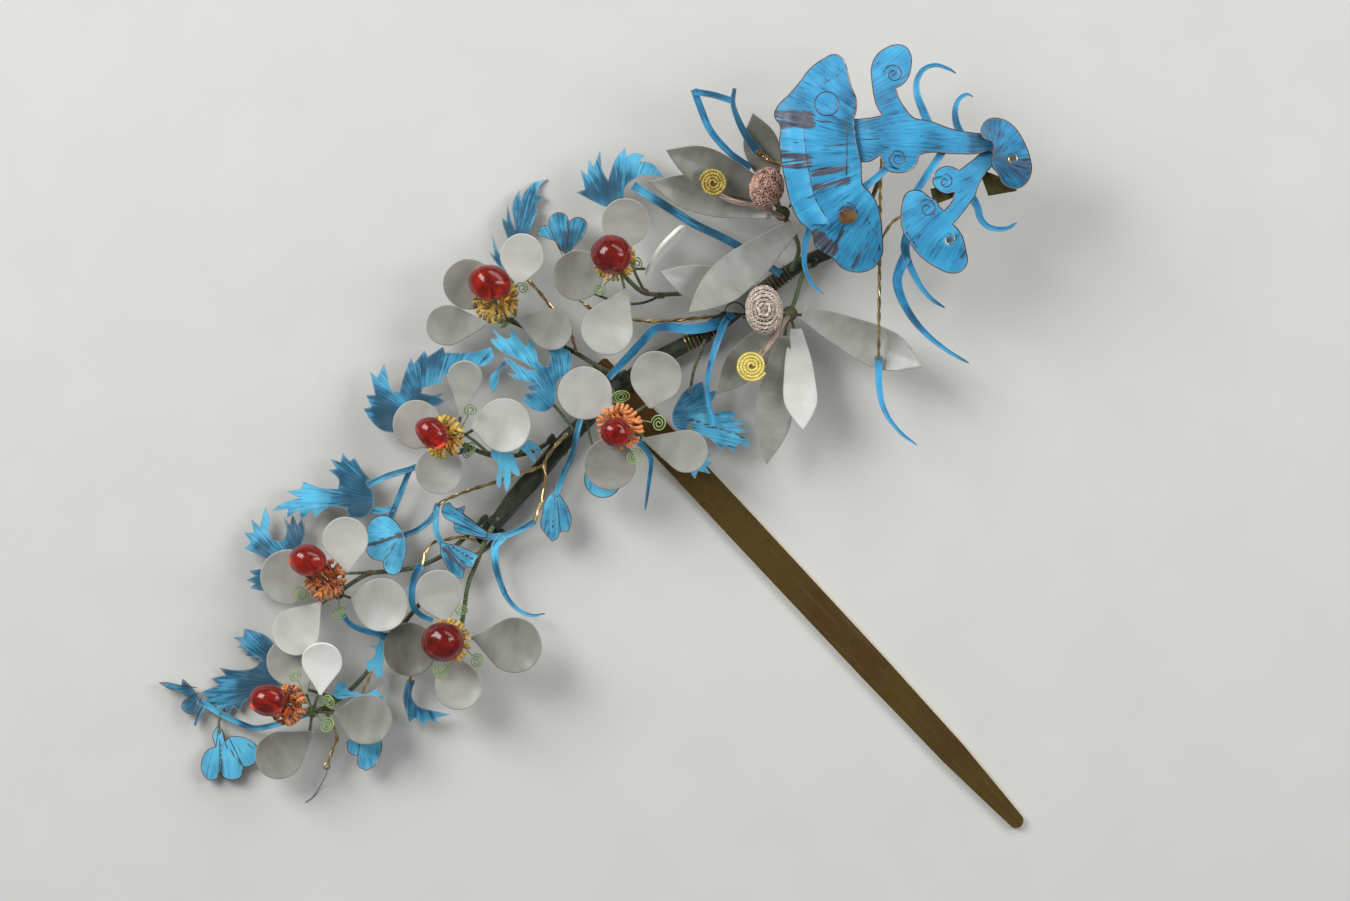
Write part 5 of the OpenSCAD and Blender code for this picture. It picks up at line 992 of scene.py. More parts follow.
class ORNAMENT_OT_blade(bpy.types.Operator):
    """Round the edges of the brass blade and give it its finish"""
    bl_idname = "ornament.blade"
    bl_label = "Blade"

    def execute(self, context):
        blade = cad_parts["blade"]
        blade.data.materials.clear()
        blade.data.materials.append(FINISHES["aged_brass"])
        weld = blade.modifiers.new("weld", "WELD")
        weld.merge_threshold = 0.00001
        edge = blade.modifiers.new("edge", "BEVEL")
        edge.width, edge.segments, edge.limit_method = context.scene.ornament_sizes.blade_edge, 3, "ANGLE"
        edge.angle_limit = math.radians(50)
        edge.harden_normals = True
        return {"FINISHED"}


class ORNAMENT_OT_stem(bpy.types.Operator):
    """Wind the main stem"""
    bl_idname = "ornament.stem"
    bl_label = "Main stem"

    def execute(self, context):
        form = Form(3, "green_floss")
        path = smooth(STEM, 0.5)
        radii = [r * (1 + 0.05 * noise.noise(Vector((i / 9, 0, 0)))) * (0.93 if i else 0.6)
                 for i, (*_, r) in enumerate(path)]
        form.tube(path, radii, 28, lobes=5, twist=0.5)
        piece("wound_stem", form, "green_silk", "main_stem")
        return {"FINISHED"}


class ORNAMENT_OT_twigs(bpy.types.Operator):
    """Wind the twigs, their hubs, and the arms and pins on them"""
    bl_idname = "ornament.twigs"
    bl_label = "Twigs"

    def execute(self, context):
        form = Form(4, "twig_silk")
        for number, route in enumerate(TWIGS):
            form.shade(form.chance.random())
            path = smooth(route, 0.5)
            radii = [TWIG * (1 + 0.08 * noise.noise(Vector((i / 4, number, 0)))) for i in range(len(path))]
            form.tube(path, radii, 9)
        # Each head's hub and pin, and an arm to the seat of each petal, sunk under the hub's top
        for heads, petals, lowest, dish, sunk in ((BLOSSOMS, PETALS, PETAL_LOW, PETAL_DISH, 0.6),
                                                  (LILIES, LILY_PETALS, LILY_LOW, LILY_DISH, 1.4)):
            for n, (hub, head, *_) in enumerate(heads, 1):
                form.shade(form.chance.random())
                hub, head = Vector(hub), Vector(head)
                form.tube([hub + UP * h for h in (-2.2, -1.8, -1.3, -0.9, -0.5, -0.25, -0.05, 0)],
                          [0.5, 0.68, 0.85, 1.05, 1.2, 1.26, 1.2, 0.95], 16)
                form.tube([hub - UP * 0.3, hub.lerp(head, 0.5), head], PIN, 8)
                for owner, tip, end, _, base, rise, roll, _ in petals:
                    if owner != n:
                        continue
                    roll = roll if heads is BLOSSOMS else 0
                    tip, end = Vector(tip), Vector(end)
                    length = (end - tip).length / math.cos(math.radians(rise))
                    spot = tip + (end - tip).normalized() * ARM_SEAT
                    sag = (length * lowest - ARM_SEAT) ** 2 / 2 / (dish + SHELL)
                    top = (base + ARM_SEAT * math.sin(math.radians(rise)) + sag * math.cos(math.radians(roll))
                           - ARM - 0.23)
                    form.tube([hub - UP * sunk, (*spot, top)], ARM, 7)
        piece("wound_twigs", form, "green_silk", "twigs")
        return {"FINISHED"}


class ORNAMENT_OT_gilt_wires(bpy.types.Operator):
    """Twist the gilt wires from two strands"""
    bl_idname = "ornament.gilt_wires"
    bl_label = "Gilt wires"

    def execute(self, context):
        form = Form(5, "gilt_copper")
        for route in GILT_WIRES:
            path = [Vector(p) for p in smooth(route, 0.25)]
            sides = [across(bearing(path, i)) for i in range(len(path))]
            for strand in twine(path, sides, GILT_LAY, 0.17):
                form.tube(strand, 0.22, 8)
        # The eye at the end of the wire under the lowest blossom
        angles = [math.radians(90 + 24 * k) for k in range(16)]
        form.tube([(65.2 + 0.55 * math.cos(a), 26.6 + 0.6 * math.sin(a), 5.6) for a in angles], 0.2, 7)
        piece("twisted_gilt_wires", form, "gilt", "gilt_wires")
        return {"FINISHED"}


def bowl(form, where, line, middle, low, dish, fold=0.0, seed=0.0):
    """A shallow shell bowl inside an outline, hollow side up, lowest at low, thinning at its edge."""
    rings, spread, tones = [], [], []
    for share, up in PETAL_SECTION:
        ring, lengths = [], []
        for x, y in line:
            x, y = middle + (x - middle) * share, y * share
            off = (x - low) ** 2 + y * y
            top = dish + SHELL - math.sqrt(dish * dish - off)
            under = dish + SHELL - math.sqrt((dish + SHELL) ** 2 - off)
            buckle = 0.16 * noise.noise(Vector((x / 4, y / 4, seed)))
            ring.append(where @ Vector((x, y, under + (top - under) * up + fold * abs(y) + buckle)))
            lengths.append((x + 20 * seed, y))
        rings.append(ring)
        spread.append(lengths)
        tones.append([(form.tone[0], share, 0)] * len(ring))
    form.skin(rings, spread=spread, tones=tones)


def drop_line(length, width, seed):
    """The outline of a round-ended drop with a narrow blunt tip, cut by hand."""
    r = width / 2
    c = length - r
    opened = math.pi - math.acos(r / c)
    arc = [(c + r * math.cos(a), r * math.sin(a)) for a in [opened * (k / 20 - 1) for k in range(41)]]
    tip = (0.25, 0)
    side = [(0.2, -0.35)] + [(arc[0][0] * k / 8, arc[0][1] * k / 8) for k in range(1, 8)]
    line = [tip] + side + arc + [(x, -y) for x, y in reversed(side)]
    return [(x * (1 + 0.012 * noise.noise(Vector((x, y, seed)) / 4)),
             y * (1 + 0.04 * noise.noise(Vector((x, y, seed + 5)) / 5))) for x, y in line]


def lance_line(length, width, widest, seed):
    """The outline of a lance-shaped petal with a narrow base and a pointed tip."""
    def half(s):
        if s < widest:
            return 0.34 + 0.66 * math.sin(math.pi / 2 * s / widest)
        return math.cos(math.pi / 2 * (s - widest) / (1 - widest))
    stations = [k / 26 for k in range(27)]
    lower = [(length * s, -width / 2 * half(s)) for s in stations]
    line = [(0, 0)] + lower[:-1] + [(length, 0)] + [(x, -y) for x, y in reversed(lower[:-1])]
    return [(x, y * (1 + 0.05 * noise.noise(Vector((x, y, seed)) / 5))) for x, y in line]


class ORNAMENT_OT_petals(bpy.types.Operator):
    """Cut the round shell petals"""
    bl_idname = "ornament.petals"
    bl_label = "Petals"

    def execute(self, context):
        for n in range(1, len(BLOSSOMS) + 1):
            form = Form(20 + n, "mother_of_pearl")
            for number, (blossom, tip, end, width, height, rise, roll, pale) in enumerate(PETALS):
                if blossom == n:
                    length = math.dist(tip, end) / math.cos(math.radians(rise))
                    form.shade(pale)
                    bowl(form, laid(tip, height, heading(tip, end), rise, roll), drop_line(length, width, number),
                         0.6 * length, PETAL_LOW * length, PETAL_DISH, seed=number * 1.7)
            piece(f"shell_petals_{n}", form, "shell", f"petals_{n}")
        return {"FINISHED"}


class ORNAMENT_OT_lily_petals(bpy.types.Operator):
    """Cut the long shell petals of the lilies"""
    bl_idname = "ornament.lily_petals"
    bl_label = "Lily petals"

    def execute(self, context):
        for n in range(1, len(LILIES) + 1):
            form = Form(30 + n, "mother_of_pearl")
            for number, (lily, base, tip, width, height, rise, widest, pale) in enumerate(LILY_PETALS):
                if lily == n:
                    length = math.dist(base, tip) / math.cos(math.radians(rise))
                    form.shade(pale)
                    bowl(form, laid(base, height, heading(base, tip), rise),
                         lance_line(length, width, widest, number), 0.5 * length, LILY_LOW * length, LILY_DISH,
                         fold=0.07, seed=number * 2.3 + 60)
            piece(f"shell_lily_petals_{n}", form, "shell", f"lily_petals_{n}")
        return {"FINISHED"}


def oval_point(d, length, width, spin):
    """The point of an oval in a direction from its middle; its long axis lies on the spin."""
    a = math.radians(spin)
    x, y = d.x * math.cos(a) + d.y * math.sin(a), d.y * math.cos(a) - d.x * math.sin(a)
    return d / math.sqrt((x / (length / 2)) ** 2 + (y / (width / 2)) ** 2 + (d.z / (width / 2)) ** 2)


def bored_oval(form, middle, way, length, width, spin, depth, lump):
    """An oval with a blind bore from below, as a skin from the bore's mouth over the crown into its end."""
    turn = aimed((0, 0, 0), way)
    angles = [2 * math.pi * k / 48 for k in range(48)]
    rings = []
    for tilt in [math.pi - 0.16 - (math.pi - 0.18) * k / 30 for k in range(31)]:
        ring = []
        for a in angles:
            p = oval_point(turn @ pointing(tilt, a), length, width, spin)
            ring.append(middle + p * (1 + lump * noise.noise((middle + p) / 2.6)))
        rings.append(ring)
    mouth = [turn.inverted() @ (p - middle) for p in rings[0]]
    low = sum(p.z for p in mouth) / len(mouth)
    for z in (low + 0.1, depth):
        rings.insert(0, [middle + turn @ Vector((PIN_BORE * math.cos(a), PIN_BORE * math.sin(a), z)) for a in angles])
    form.skin(rings, along=[0.4 * i for i in range(len(rings))])


class ORNAMENT_OT_beads(bpy.types.Operator):
    """Cut the ruby glass beads"""
    bl_idname = "ornament.beads"
    bl_label = "Beads"

    def execute(self, context):
        for n, (hub, bead, length, width, spin, *_) in enumerate(BLOSSOMS, 1):
            form = Form(40 + n, "ruby_glass")
            bored_oval(form, Vector(bead), Vector(bead) - Vector(hub), length * 0.99, width * 0.99, spin,
                       depth=0.3 * width, lump=0.05)
            piece(f"ruby_bead_{n}", form, "ruby_glass", f"bead_{n}")
        return {"FINISHED"}


class ORNAMENT_OT_ruffs(bpy.types.Operator):
    """Loop the thread ruffs under the beads"""
    bl_idname = "ornament.ruffs"
    bl_label = "Thread ruffs"

    def execute(self, context):
        gauge, loops = gauge_of("loop_gauge"), context.scene.ornament_sizes.loops
        for n, (hub, bead, _, _, _, radius, yellow, share, lean, pale, _) in enumerate(BLOSSOMS, 1):
            kind = "yellow" if yellow else "orange"
            form = Form(50 + n, f"{kind}_chenille")
            hub, pin = Vector(hub), Vector(bead) - Vector(hub)
            where = aimed(hub + pin * share, (pin.x * lean, pin.y * lean, pin.z))
            # A flat winding round the pin holds the loops; it is drawn darker than they are, painted shade in the
            # gaps between them
            form.shade(0.2)
            winding = [(0.35 * k, 0.75 + (radius - 3.2) * k / 90) for k in range(91)]
            form.tube([where @ Vector((r * math.cos(a), r * math.sin(a), 0.3)) for a, r in winding], 0.3, 6)
            for row, count, crest in ((radius - gauge - 0.12, loops, 1.75), (radius - 1.9, round(0.7 * loops), 1.15)):
                for k in range(count):
                    a = 2 * math.pi * (k + form.chance.uniform(-0.25, 0.25)) / count
                    high = crest * form.chance.uniform(0.8, 1.12)
                    form.shade(pale + form.chance.random())
                    turned = (where @ Matrix.Rotation(a, 4, "Z")
                              @ Matrix.Translation((row - form.chance.uniform(0, 0.45), 0, 0))
                              @ Matrix.Rotation(form.chance.uniform(-0.5, 0.5), 4, "Z"))
                    loop = smooth([(-1.95, -0.1, 0.42), (-1.4, 0.12, 0.8 * high), (-0.6, 0, high),
                                   (-0.02, 0, 0.65 * high), (-0.3, 0, 0.4)], 0.35)
                    form.tube([turned @ Vector(p) for p in loop], gauge * form.chance.uniform(0.85, 1.05), 7)
            piece(f"thread_ruff_{n}", form, f"{kind}_thread", f"ruff_{n}")
        return {"FINISHED"}


class ORNAMENT_OT_coils(bpy.types.Operator):
    """Wind the flat green coils"""
    bl_idname = "ornament.coils"
    bl_label = "Green coils"

    def execute(self, context):
        gauge = gauge_of("coil_gauge")
        for n, (hub, *_, pale) in enumerate(BLOSSOMS, 1):
            form = Form(60 + n, "pale_green_wire")
            for blossom, centre, radius in COILS:
                if blossom != n:
                    continue
                turn = heading(hub, centre)
                a = math.radians(turn)
                base = Vector((hub[0] + math.cos(a), hub[1] + math.sin(a), hub[2] + 0.18))
                reach = (Vector(centre) - base).length
                where = laid(base, base.z, turn, math.degrees(math.asin((centre[2] - base.z) / reach)))
                turns = round(2 * (radius - 0.375) / 0.58) / 2
                path = []
                for k in range(int(20 * turns) + 1):
                    r = 0.25 + (radius - 0.25 - gauge) * k / (20 * turns)
                    b = math.pi - 2 * math.pi * turns + 2 * math.pi * k / 20
                    path.append((reach + r * math.cos(b), r * math.sin(b), 0.1))
                tail = smooth([(reach - radius + 0.1, 0.0, 0.1), (0.5 * (reach - radius), 0.12, 0.18), (0, 0, 0.1),
                               (-0.7, 0, -0.1)], 0.4)
                form.shade(pale + form.chance.uniform(-0.1, 0.1))
                form.tube([where @ Vector(p) for p in path + tail[1:]], gauge, 7)
            piece(f"green_coils_{n}", form, "green_wire", f"coils_{n}")
        return {"FINISHED"}


class ORNAMENT_OT_knots(bpy.types.Operator):
    """Stitch the silk knots of the lilies"""
    bl_idname = "ornament.knots"
    bl_label = "Silk knots"

    def execute(self, context):
        gauge = gauge_of("stitch_gauge")
        for n, (hub, knot, length, width, spin, *_) in enumerate(LILIES, 1):
            form = Form(70 + n, "pad_thread")
            hub, knot = Vector(hub), Vector(knot)
            form.shade(0.3)
            bored_oval(form, knot, knot - hub, length * 0.88, width * 0.88, spin, depth=0.2, lump=0.02)
            if n == 1:
                # A pile of small loops, one beside the other, from the crown down
                form.finish = "pink_knots"
                for k in range(330):
                    d = pointing(math.acos(1 - 2 * (k + 0.5) / 330), GOLDEN_ANGLE * k)
                    if d.dot((hub - knot).normalized()) > 0.93:
                        continue
                    form.shade(form.chance.random())
                    spot = knot + oval_point(d, length * 0.91, width * 0.91, spin)
                    where = (aimed(spot, d) @ Matrix.Rotation(form.chance.uniform(0, 3), 4, "Z")
                             @ Matrix.Rotation(form.chance.uniform(-0.9, 0.9), 4, "X"))
                    r = form.chance.uniform(0.22, 0.32)
                    angles = [2 * math.pi * j / 9 for j in range(10)]
                    form.tube([where @ Vector((r * math.cos(a), 0.8 * r * math.sin(a), 0)) for a in angles],
                              gauge * 0.45, 5)
            else:
                # Twisted cords laid in ovals, one inside the other
                form.finish = "beige_knots"
                for row in range(9):
                    lean = math.radians(6 + 13.2 * row)
                    steps = max(14, int(76 * math.sin(lean)))
                    spots, sides = [], []
                    for j in range(steps + 1):
                        a = 2 * math.pi * (j % steps) / steps
                        tilt = lean + 0.07 * noise.noise(Vector((2 * math.cos(a), 2 * math.sin(a), row)))
                        d = pointing(tilt, a)
                        spots.append(knot + oval_point(d, length * 0.88, width * 0.88, spin))
                        sides.append((d, d.cross(UP).cross(d).normalized()))
                    for strand in twine(spots, sides, CORD_LAY, gauge * 0.62):
                        form.shade(form.chance.random())
                        form.tube(strand, gauge * 0.68, 6)
            piece(f"silk_knot_{n}", form, "pink_thread", f"lily_knot_{n}")
        return {"FINISHED"}


class ORNAMENT_OT_discs(bpy.types.Operator):
    """Coil the yellow cord discs and wind their stalks"""
    bl_idname = "ornament.discs"
    bl_label = "Cord discs"

    def execute(self, context):
        for n, ((*_, (x, y, z), radius), stalk) in enumerate(zip(LILIES, DISC_STALKS), 1):
            form = Form(80 + n, "yellow_cord")
            # Painted shade: the first disc is drawn darker, as it lies in shade, and the second paler
            form.shade(0.9 * n - 0.9)
            steps = int(28 * (radius - 0.85) / 0.62)
            cord = []
            for k in range(steps + 1):
                a = 2 * math.pi * k / 28
                r = (0.45 + (radius - 0.77) * k / steps) * (1 + 0.02 * noise.noise(Vector((k / 9, n, 0))))
                cord.append((x + r * math.cos(a), y + r * math.sin(a), z + 0.16 - 0.02 * r))
            form.tube(cord, 0.29, 8)
            form.finish = "brown_silk"
            form.tube([(x, y, z - 0.35), (x, y, z - 0.05)], [radius - 0.5, radius - 0.6], 32)
            form.finish = "beige_thread"
            for strand in range(6):
                form.shade(form.chance.random())
                twisted = []
                for i, p in enumerate(smooth(stalk, 0.4)):
                    a = 0.22 * i + strand * 1.05
                    off = Vector((0.38 * math.cos(a), 0.38 * math.sin(a), 0.3 * math.sin(a + 1)))
                    twisted.append(Vector(p) + off)
                form.tube(twisted, 0.2, 6)
            piece(f"cord_disc_{n}", form, "yellow_thread", f"lily_disc_{n}")
        return {"FINISHED"}


def feather_form(node, seed, feather):
    """The plates, tendrils and stalks of one feather node."""
    form = Form(seed, feather)
    rim = 0 if node.startswith("leaf") else gauge_of("rim_gauge")
    for heart, root, pale in PLATES.get(node, []):
        corners, height = plate_outline(node, heart)
        form.shade(pale)
        # Leaves have no rim and are drawn darker towards their root and paler at their tips: painted shade and light
        form.plate(corners, height, LEAF_SHEET, root, wave=0.14, gap=0.5, worn=WEAR.get(node, ()), rim=rim,
                   slits=rim > 0, root_shade=0 if rim else 1)
    for route, wide, narrow in STRIPS.get(node, []):
        path = smooth(route, 0.5)
        last = len(path) - 1
        halves = [(wide + (narrow - wide) * i / last) / 2 for i in range(last + 1)]
        if narrow < 0.8:
            halves[-4:] = [half * share for half, share in zip(halves[-4:], POINTED)]
        form.shade(TONES.get(node, 0.5) + form.chance.uniform(-0.3, 0.2))
        form.tube(path, halves, len(RIBBON), level=LEAF_SHEET / 2)
    form.finish = "twig_silk"
    for route, radius in STALKS.get(node, []):
        form.shade(form.chance.random())
        form.tube(smooth(route, 0.5), radius * 0.95, 8)
    return form


class ORNAMENT_OT_leaves(bpy.types.Operator):
    """Cut the feather leaves"""
    bl_idname = "ornament.leaves"
    bl_label = "Feather leaves"

    def execute(self, context):
        for seed, node in enumerate([n for n in PLATES if n.startswith("leaf")], 100):
            piece(f"feather_{node}", feather_form(node, seed, "leaf_feather"), "feather", node)
        return {"FINISHED"}


class ORNAMENT_OT_sprays(bpy.types.Operator):
    """Cut the small feather blossoms, sprays and buds"""
    bl_idname = "ornament.sprays"
    bl_label = "Sprays and buds"

    def execute(self, context):
        for seed, node in enumerate(["spray_low", "spray_side", "spray_stem", "buds"], 120):
            piece(f"feather_{node}", feather_form(node, seed, "leaf_feather"), "feather", node)
        return {"FINISHED"}


class ORNAMENT_OT_tendrils(bpy.types.Operator):
    """Cut the feather tendrils"""
    bl_idname = "ornament.tendrils"
    bl_label = "Tendrils"

    def execute(self, context):
        for seed, node in enumerate(["middle_tendrils", "lily_tendrils", "cloud_tendrils"], 130):
            form = feather_form(node, seed, "kingfisher_feather")
            if node == "cloud_tendrils":
                # Plain sheet that joins the cloud's plates from below
                form.finish = BACK
                for heart in ((199, 142.5), (188.2, 140.8)):
                    corners, height = plate_outline(node, heart)
                    form.plate(corners, height, LEAF_SHEET, (190, 150), wave=0.05)
            piece(f"feather_{node}", form, "feather", node)
        return {"FINISHED"}


def left_of_band(p):
    """How far a point of the cloud fan lies to the left of its rolled band's seam, or 0 beyond the seam's ends."""
    seam = SEAMS[0][1]
    for (x0, y0), (x1, y1) in zip(seam, seam[1:]):
        if y1 <= p.y <= y0:
            return x0 + (x1 - x0) * (y0 - p.y) / (y0 - y1) - p.x
    return 0


class ORNAMENT_OT_cloud(bpy.types.Operator):
    """Cut the domed cloud plates and lay their scroll wires"""
    bl_idname = "ornament.cloud"
    bl_label = "Cloud plate"

    def execute(self, context):
        wire = gauge_of("rim_gauge") * 1.5
        for seed, (node, (heart, root, (x, y, crown, radius), worn)) in enumerate(CLOUDS.items(), 140):
            form = Form(seed, "kingfisher_feather")
            scrolls = [(Vector(eye), size, turns) for plate, eye, size, turns in SCROLLS if plate == node]

            def height(p):
                z = crown - radius + math.sqrt(radius ** 2 - (p.x - x) ** 2 - (p.y - y) ** 2) - 0.12
                for eye, size, _ in scrolls:
                    z -= 0.25 * math.exp(-((p - eye).length / (0.7 * size)) ** 4)
                if node == "cloud_fan":
                    # The fan is pleated, and its left edge is rolled up into a band
                    out, left = p - Vector(root), left_of_band(p)
                    z += 0.07 * math.sin(math.atan2(out.y, out.x) * 46) * min(out.length / 14, 1)
                    if 0 < left < 5:
                        z += 0.85 * math.sin(math.pi * left / 5) - 0.12
                return z

            # Painted light: the fan's rolled band is drawn paler, where it turns up to the light
            def pale(p):
                return 0.6 if node == "cloud_fan" and left_of_band(p) > 0 else 0

            corners, _ = plate_outline(node, heart, bend=20)
            form.shade(TONES[node])
            top = form.plate(corners, height, CLOUD_SHEET, root, wave=0.06, gap=0.34, worn=worn, rim=wire, pale=pale)
            for eye, size, turns in scrolls:
                form.finish = "gilt_copper" if size < 1.5 else EDGE
                coil = []
                for k in range(int(24 * turns) + 1):
                    a = 2 * math.pi * k / 24 + 0.6
                    r = size * (0.25 + 0.75 * k / (24 * turns)) if turns > 1 else size
                    coil.append(top(eye + Vector((r * math.cos(a), r * math.sin(a)))))
                form.tube(coil, wire * 0.9, 6)
            if node == "cloud_fan":
                # A bare copper disc fills the fan's lower scroll
                form.finish = "bare_copper"
                spot = top(scrolls[1][0])
                form.tube([spot - UP * 0.1, spot + UP * 0.12, spot + UP * 0.16], [2.05, 2.05, 1.9], 36)
            form.finish = EDGE
            for plate, route in SEAMS:
                if plate == node:
                    form.tube([top(Vector(p[:2])) for p in smooth([(*p, 0) for p in route], 0.5)], wire * 0.8, 6)
            piece(f"feather_{node}", form, "feather", node)
        return {"FINISHED"}


class ORNAMENT_OT_loose_ends(bpy.types.Operator):
    """Lay the loose thread and wind the wraps and the wire loop"""
    bl_idname = "ornament.loose_ends"
    bl_label = "Loose ends"

    def execute(self, context):
        # Thread end that runs from the wire's eye down to the surface
        form = Form(150, "grey_thread")
        end = [(65.3, 26.3, 5.3), (65, 25, 3.6), (64, 23, 1.2), (62.6, 20.6, 0.14), (60.8, 19.2, 0.13)]
        form.tube(smooth(end, 0.3), 0.11, 6)
        piece("loose_thread", form, "green_silk")
        # Dark hair-thin wire, bent into an open loop above the lower lily
        form = Form(151, "iron_wire")
        angles = [math.radians(10 * k - 40) for k in range(31)]
        loop = [(147 + 2 * math.cos(a), 117.6 + 1.9 * math.sin(a), 13.4 - 0.3 * math.cos(a)) for a in angles]
        form.tube([(151, 116.4, 13.4)] + loop, 0.13, 7)
        piece("iron_wire_loop", form, "gilt")
        # Close turns of wire or silk round the stem and a gilt wire, and round the lilies' hubs
        form = Form(152, "brown_silk")
        for finish, start, end, radius, turns in (
                ("gilt_copper", (137, 111.4, 3.1), (143.6, 115, 3.0), 1.75, 9),
                ("brown_silk", (152.5, 121.9, 2.4), (158, 126, 2.0), 1.62, 8),
                ("gilt_copper", (151.5, 149.6, 16.9), (154, 147.7, 16.4), 0.5, 7)):
            form.finish = finish
            start, end = Vector(start), Vector(end)
            side, up = across((end - start).normalized())
            path = []
            for k in range(16 * turns + 1):
                a = 2 * math.pi * k / 16
                path.append(start.lerp(end, k / (16 * turns)) + (side * math.cos(a) + up * math.sin(a)) * radius)
            form.tube(path, 0.16, 6)
        form.finish = "brown_silk"
        angles = [0.4 * k for k in range(95)]
        for (x, y, z), *_ in LILIES:
            form.tube([(x + 1.36 * math.cos(a), y + 1.36 * math.sin(a), z - 1.3 + 0.03 * a) for a in angles], 0.17, 6)
        piece("stem_wraps", form, "gilt")
        return {"FINISHED"}


def bind(form, thick, thin, way, turns=8, pitch=0.22, gauge=0.1):
    """Winds thread round two rods that lie side by side, each a middle and a radius."""
    (middle, radius), (spot, least) = thick, thin
    off = (spot - middle) - way * (spot - middle).dot(way)
    middle = spot - off
    reach, off = off.length, off.normalized()
    up = way.cross(off)
    long, shift = (reach + radius + least) / 2, (reach + least - radius) / 2
    path = []
    for k in range(18 * turns + 1):
        a = 2 * math.pi * k / 18
        t = k / 9 / turns - 1
        swell = 1.04 - 0.16 * t ** 4
        p = (middle + off * (shift + swell * long * math.cos(a)) + up * swell * radius * math.sin(a)
             + way * pitch * turns * t / 2)
        # No turn goes below the surface that the ornament lies on
        path.append(Vector((p.x, p.y, max(p.z, gauge))))
    form.tube(path, gauge, 5)


class ORNAMENT_OT_bindings(bpy.types.Operator):
    """Bind the ends of twigs, wires and stalks to the rods they lie along"""
    bl_idname = "ornament.bindings"
    bl_label = "Bindings"

    def execute(self, context):
        form = Form(160, "green_floss")
        rods = [[(Vector(p[:3]), 0.95 * p[3]) for p in smooth(STEM)]]
        rods += [[(Vector(p), TWIG) for p in smooth(route)] for route in TWIGS]
        rods += [[(Vector(p), GILT_WIRE) for p in smooth(route)] for route in GILT_WIRES]
        loose = [[(Vector(p), radius) for p in smooth(route)] for rows in STALKS.values() for route, radius in rows]
        for number, rod in enumerate(rods[1:] + loose, 1):
            for line in (rod, rod[::-1]):
                spot, radius = line[2]
                way = (line[4][0] - line[0][0]).normalized()
                gap, host, at = min(((spot - p).length - r, j, i) for j, other in enumerate(rods) if j != number
                                    for i, (p, r) in enumerate(other))
                along = bearing([p for p, _ in rods[host]], at)
                if gap - radius < 0.6 and abs(along.dot(way)) > 0.6:
                    form.shade(form.chance.random())
                    silk = "twig_silk" if number <= len(TWIGS) else "brown_silk"
                    form.finish = silk if host else "green_floss"
                    bind(form, rods[host][at], (spot, radius), along)
        piece("thread_bindings", form, "green_silk")
        return {"FINISHED"}


# Soft studio lights: place and size in metres, and power in watts
LIGHTS = {
    "key": ((-0.55, 0.4, 0.6), (0.4, 0.6), 6.4),
    "fill": ((0.65, 0.1, 0.6), (0.3, 0.5), 2.4),
    "back": ((0.42, 0.62, 0.5), (0.8, 0.3), 2.4),
}
# What the camera looks straight down at, from how far above, and how wide a picture it takes there, in metres
PICTURE_MIDDLE, CAMERA_HEIGHT, PICTURE_WIDTH = (135, 89.9, 12), 2.5, 0.270


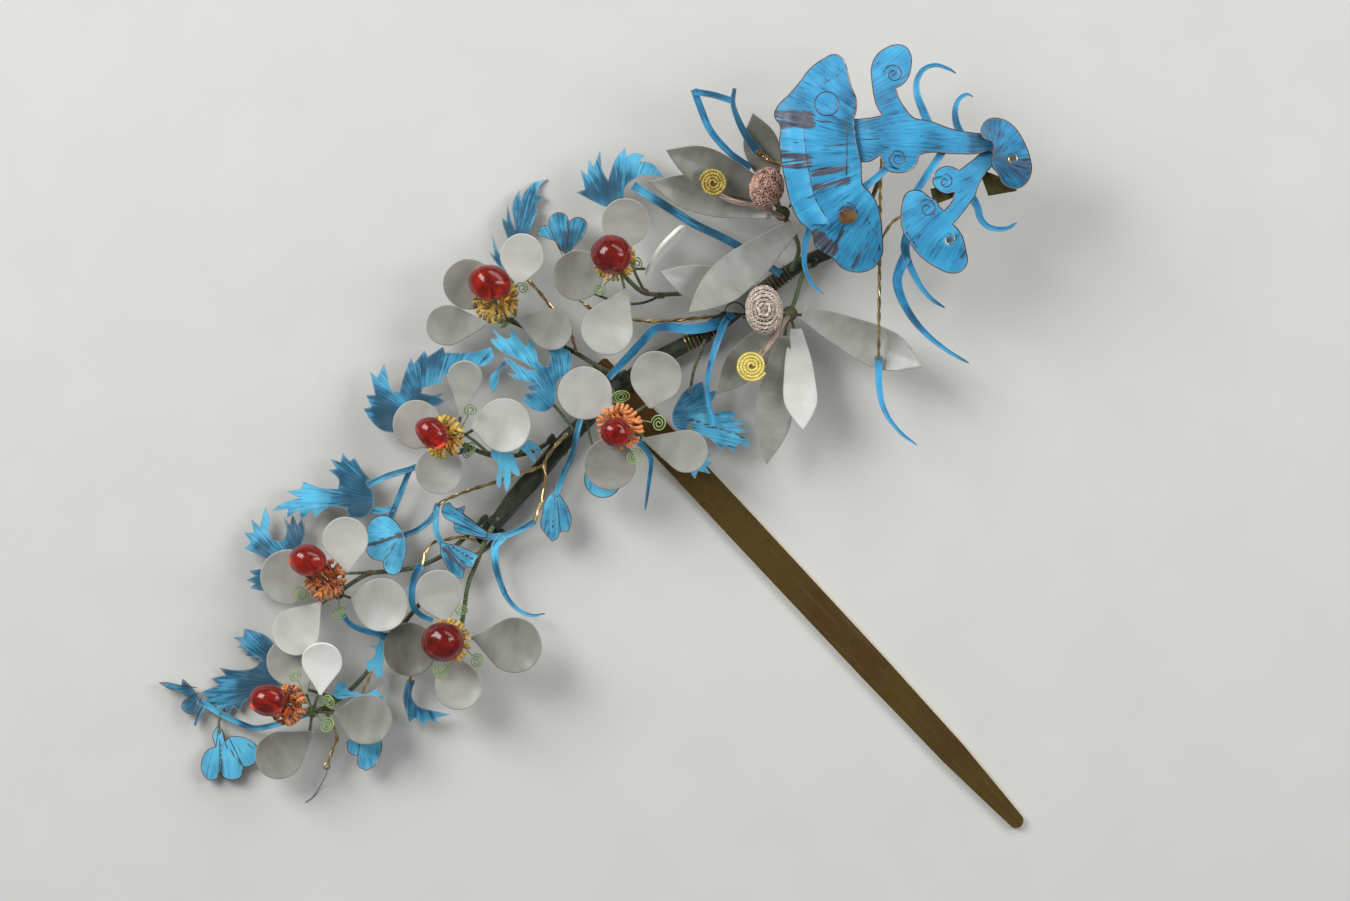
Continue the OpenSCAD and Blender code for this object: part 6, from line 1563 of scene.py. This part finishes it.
class ORNAMENT_OT_stage(bpy.types.Operator):
    """Set up the pale floor, the soft studio lights and the camera"""
    bl_idname = "ornament.stage"
    bl_label = "Stage"

    def execute(self, context):
        bpy.ops.mesh.primitive_plane_add(size=6)
        floor = bpy.context.object
        floor.name = "floor"
        floor.data.materials.append(FINISHES["matt_card"])
        world = bpy.data.worlds.new("studio")
        context.scene.world = world
        world.use_nodes = True
        sky = world.node_tree.nodes["Background"]
        sky.inputs["Color"].default_value = (0.9, 0.95, 1.0, 1)
        sky.inputs["Strength"].default_value = 0.24
        for name, (spot, size, power) in LIGHTS.items():
            data = bpy.data.lights.new(name, "AREA")
            data.shape, data.size, data.size_y, data.energy = "RECTANGLE", *size, power
            lamp = bpy.data.objects.new(name, data)
            lamp.location = spot
            lamp.rotation_euler = (-Vector(spot)).to_track_quat("-Z", "Y").to_euler()
            context.scene.collection.objects.link(lamp)
        context.scene.view_settings.view_transform = "Standard"
        data = bpy.data.cameras.new("camera")
        data.sensor_width, data.clip_end = 36, 20
        data.lens = data.sensor_width * CAMERA_HEIGHT / PICTURE_WIDTH
        camera = bpy.data.objects.new("camera", data)
        camera.location = place(PICTURE_MIDDLE) + UP * CAMERA_HEIGHT
        context.scene.collection.objects.link(camera)
        context.scene.camera = camera
        return {"FINISHED"}


class ORNAMENT_PT_panel(bpy.types.Panel):
    """Lists the ornament's pieces and settings"""
    bl_label = "Flower Hair Ornament"
    bl_idname = "ORNAMENT_PT_panel"
    bl_space_type = "VIEW_3D"
    bl_region_type = "UI"
    bl_category = "Ornament"

    def draw(self, context):
        for operator in OPERATORS:
            self.layout.operator(operator.bl_idname)
        for group in (context.scene.ornament_sizes, context.scene.ornament_colours):
            for name in group.__annotations__:
                self.layout.prop(group, name)


OPERATORS = [
    ORNAMENT_OT_finishes, ORNAMENT_OT_stage, ORNAMENT_OT_blade, ORNAMENT_OT_stem, ORNAMENT_OT_twigs,
    ORNAMENT_OT_gilt_wires, ORNAMENT_OT_petals, ORNAMENT_OT_lily_petals, ORNAMENT_OT_beads, ORNAMENT_OT_ruffs,
    ORNAMENT_OT_coils, ORNAMENT_OT_knots, ORNAMENT_OT_discs, ORNAMENT_OT_leaves, ORNAMENT_OT_sprays,
    ORNAMENT_OT_tendrils, ORNAMENT_OT_cloud, ORNAMENT_OT_loose_ends, ORNAMENT_OT_bindings,
]
CLASSES = [OrnamentColours, OrnamentSizes, *OPERATORS, ORNAMENT_PT_panel]


def register():
    """Adds the ornament's settings, operators and panel."""
    for kind in CLASSES:
        bpy.utils.register_class(kind)
    bpy.types.Scene.ornament_colours = bpy.props.PointerProperty(type=OrnamentColours)
    bpy.types.Scene.ornament_sizes = bpy.props.PointerProperty(type=OrnamentSizes)


def unregister():
    """Takes them out again."""
    del bpy.types.Scene.ornament_sizes
    del bpy.types.Scene.ornament_colours
    for kind in reversed(CLASSES):
        bpy.utils.unregister_class(kind)


def main():
    """Dresses the ornament."""
    register()
    for operator in OPERATORS:
        group, name = operator.bl_idname.split(".")
        getattr(getattr(bpy.ops, group), name)()
    bpy.context.view_layer.update()


if __name__ == "__main__":
    main()
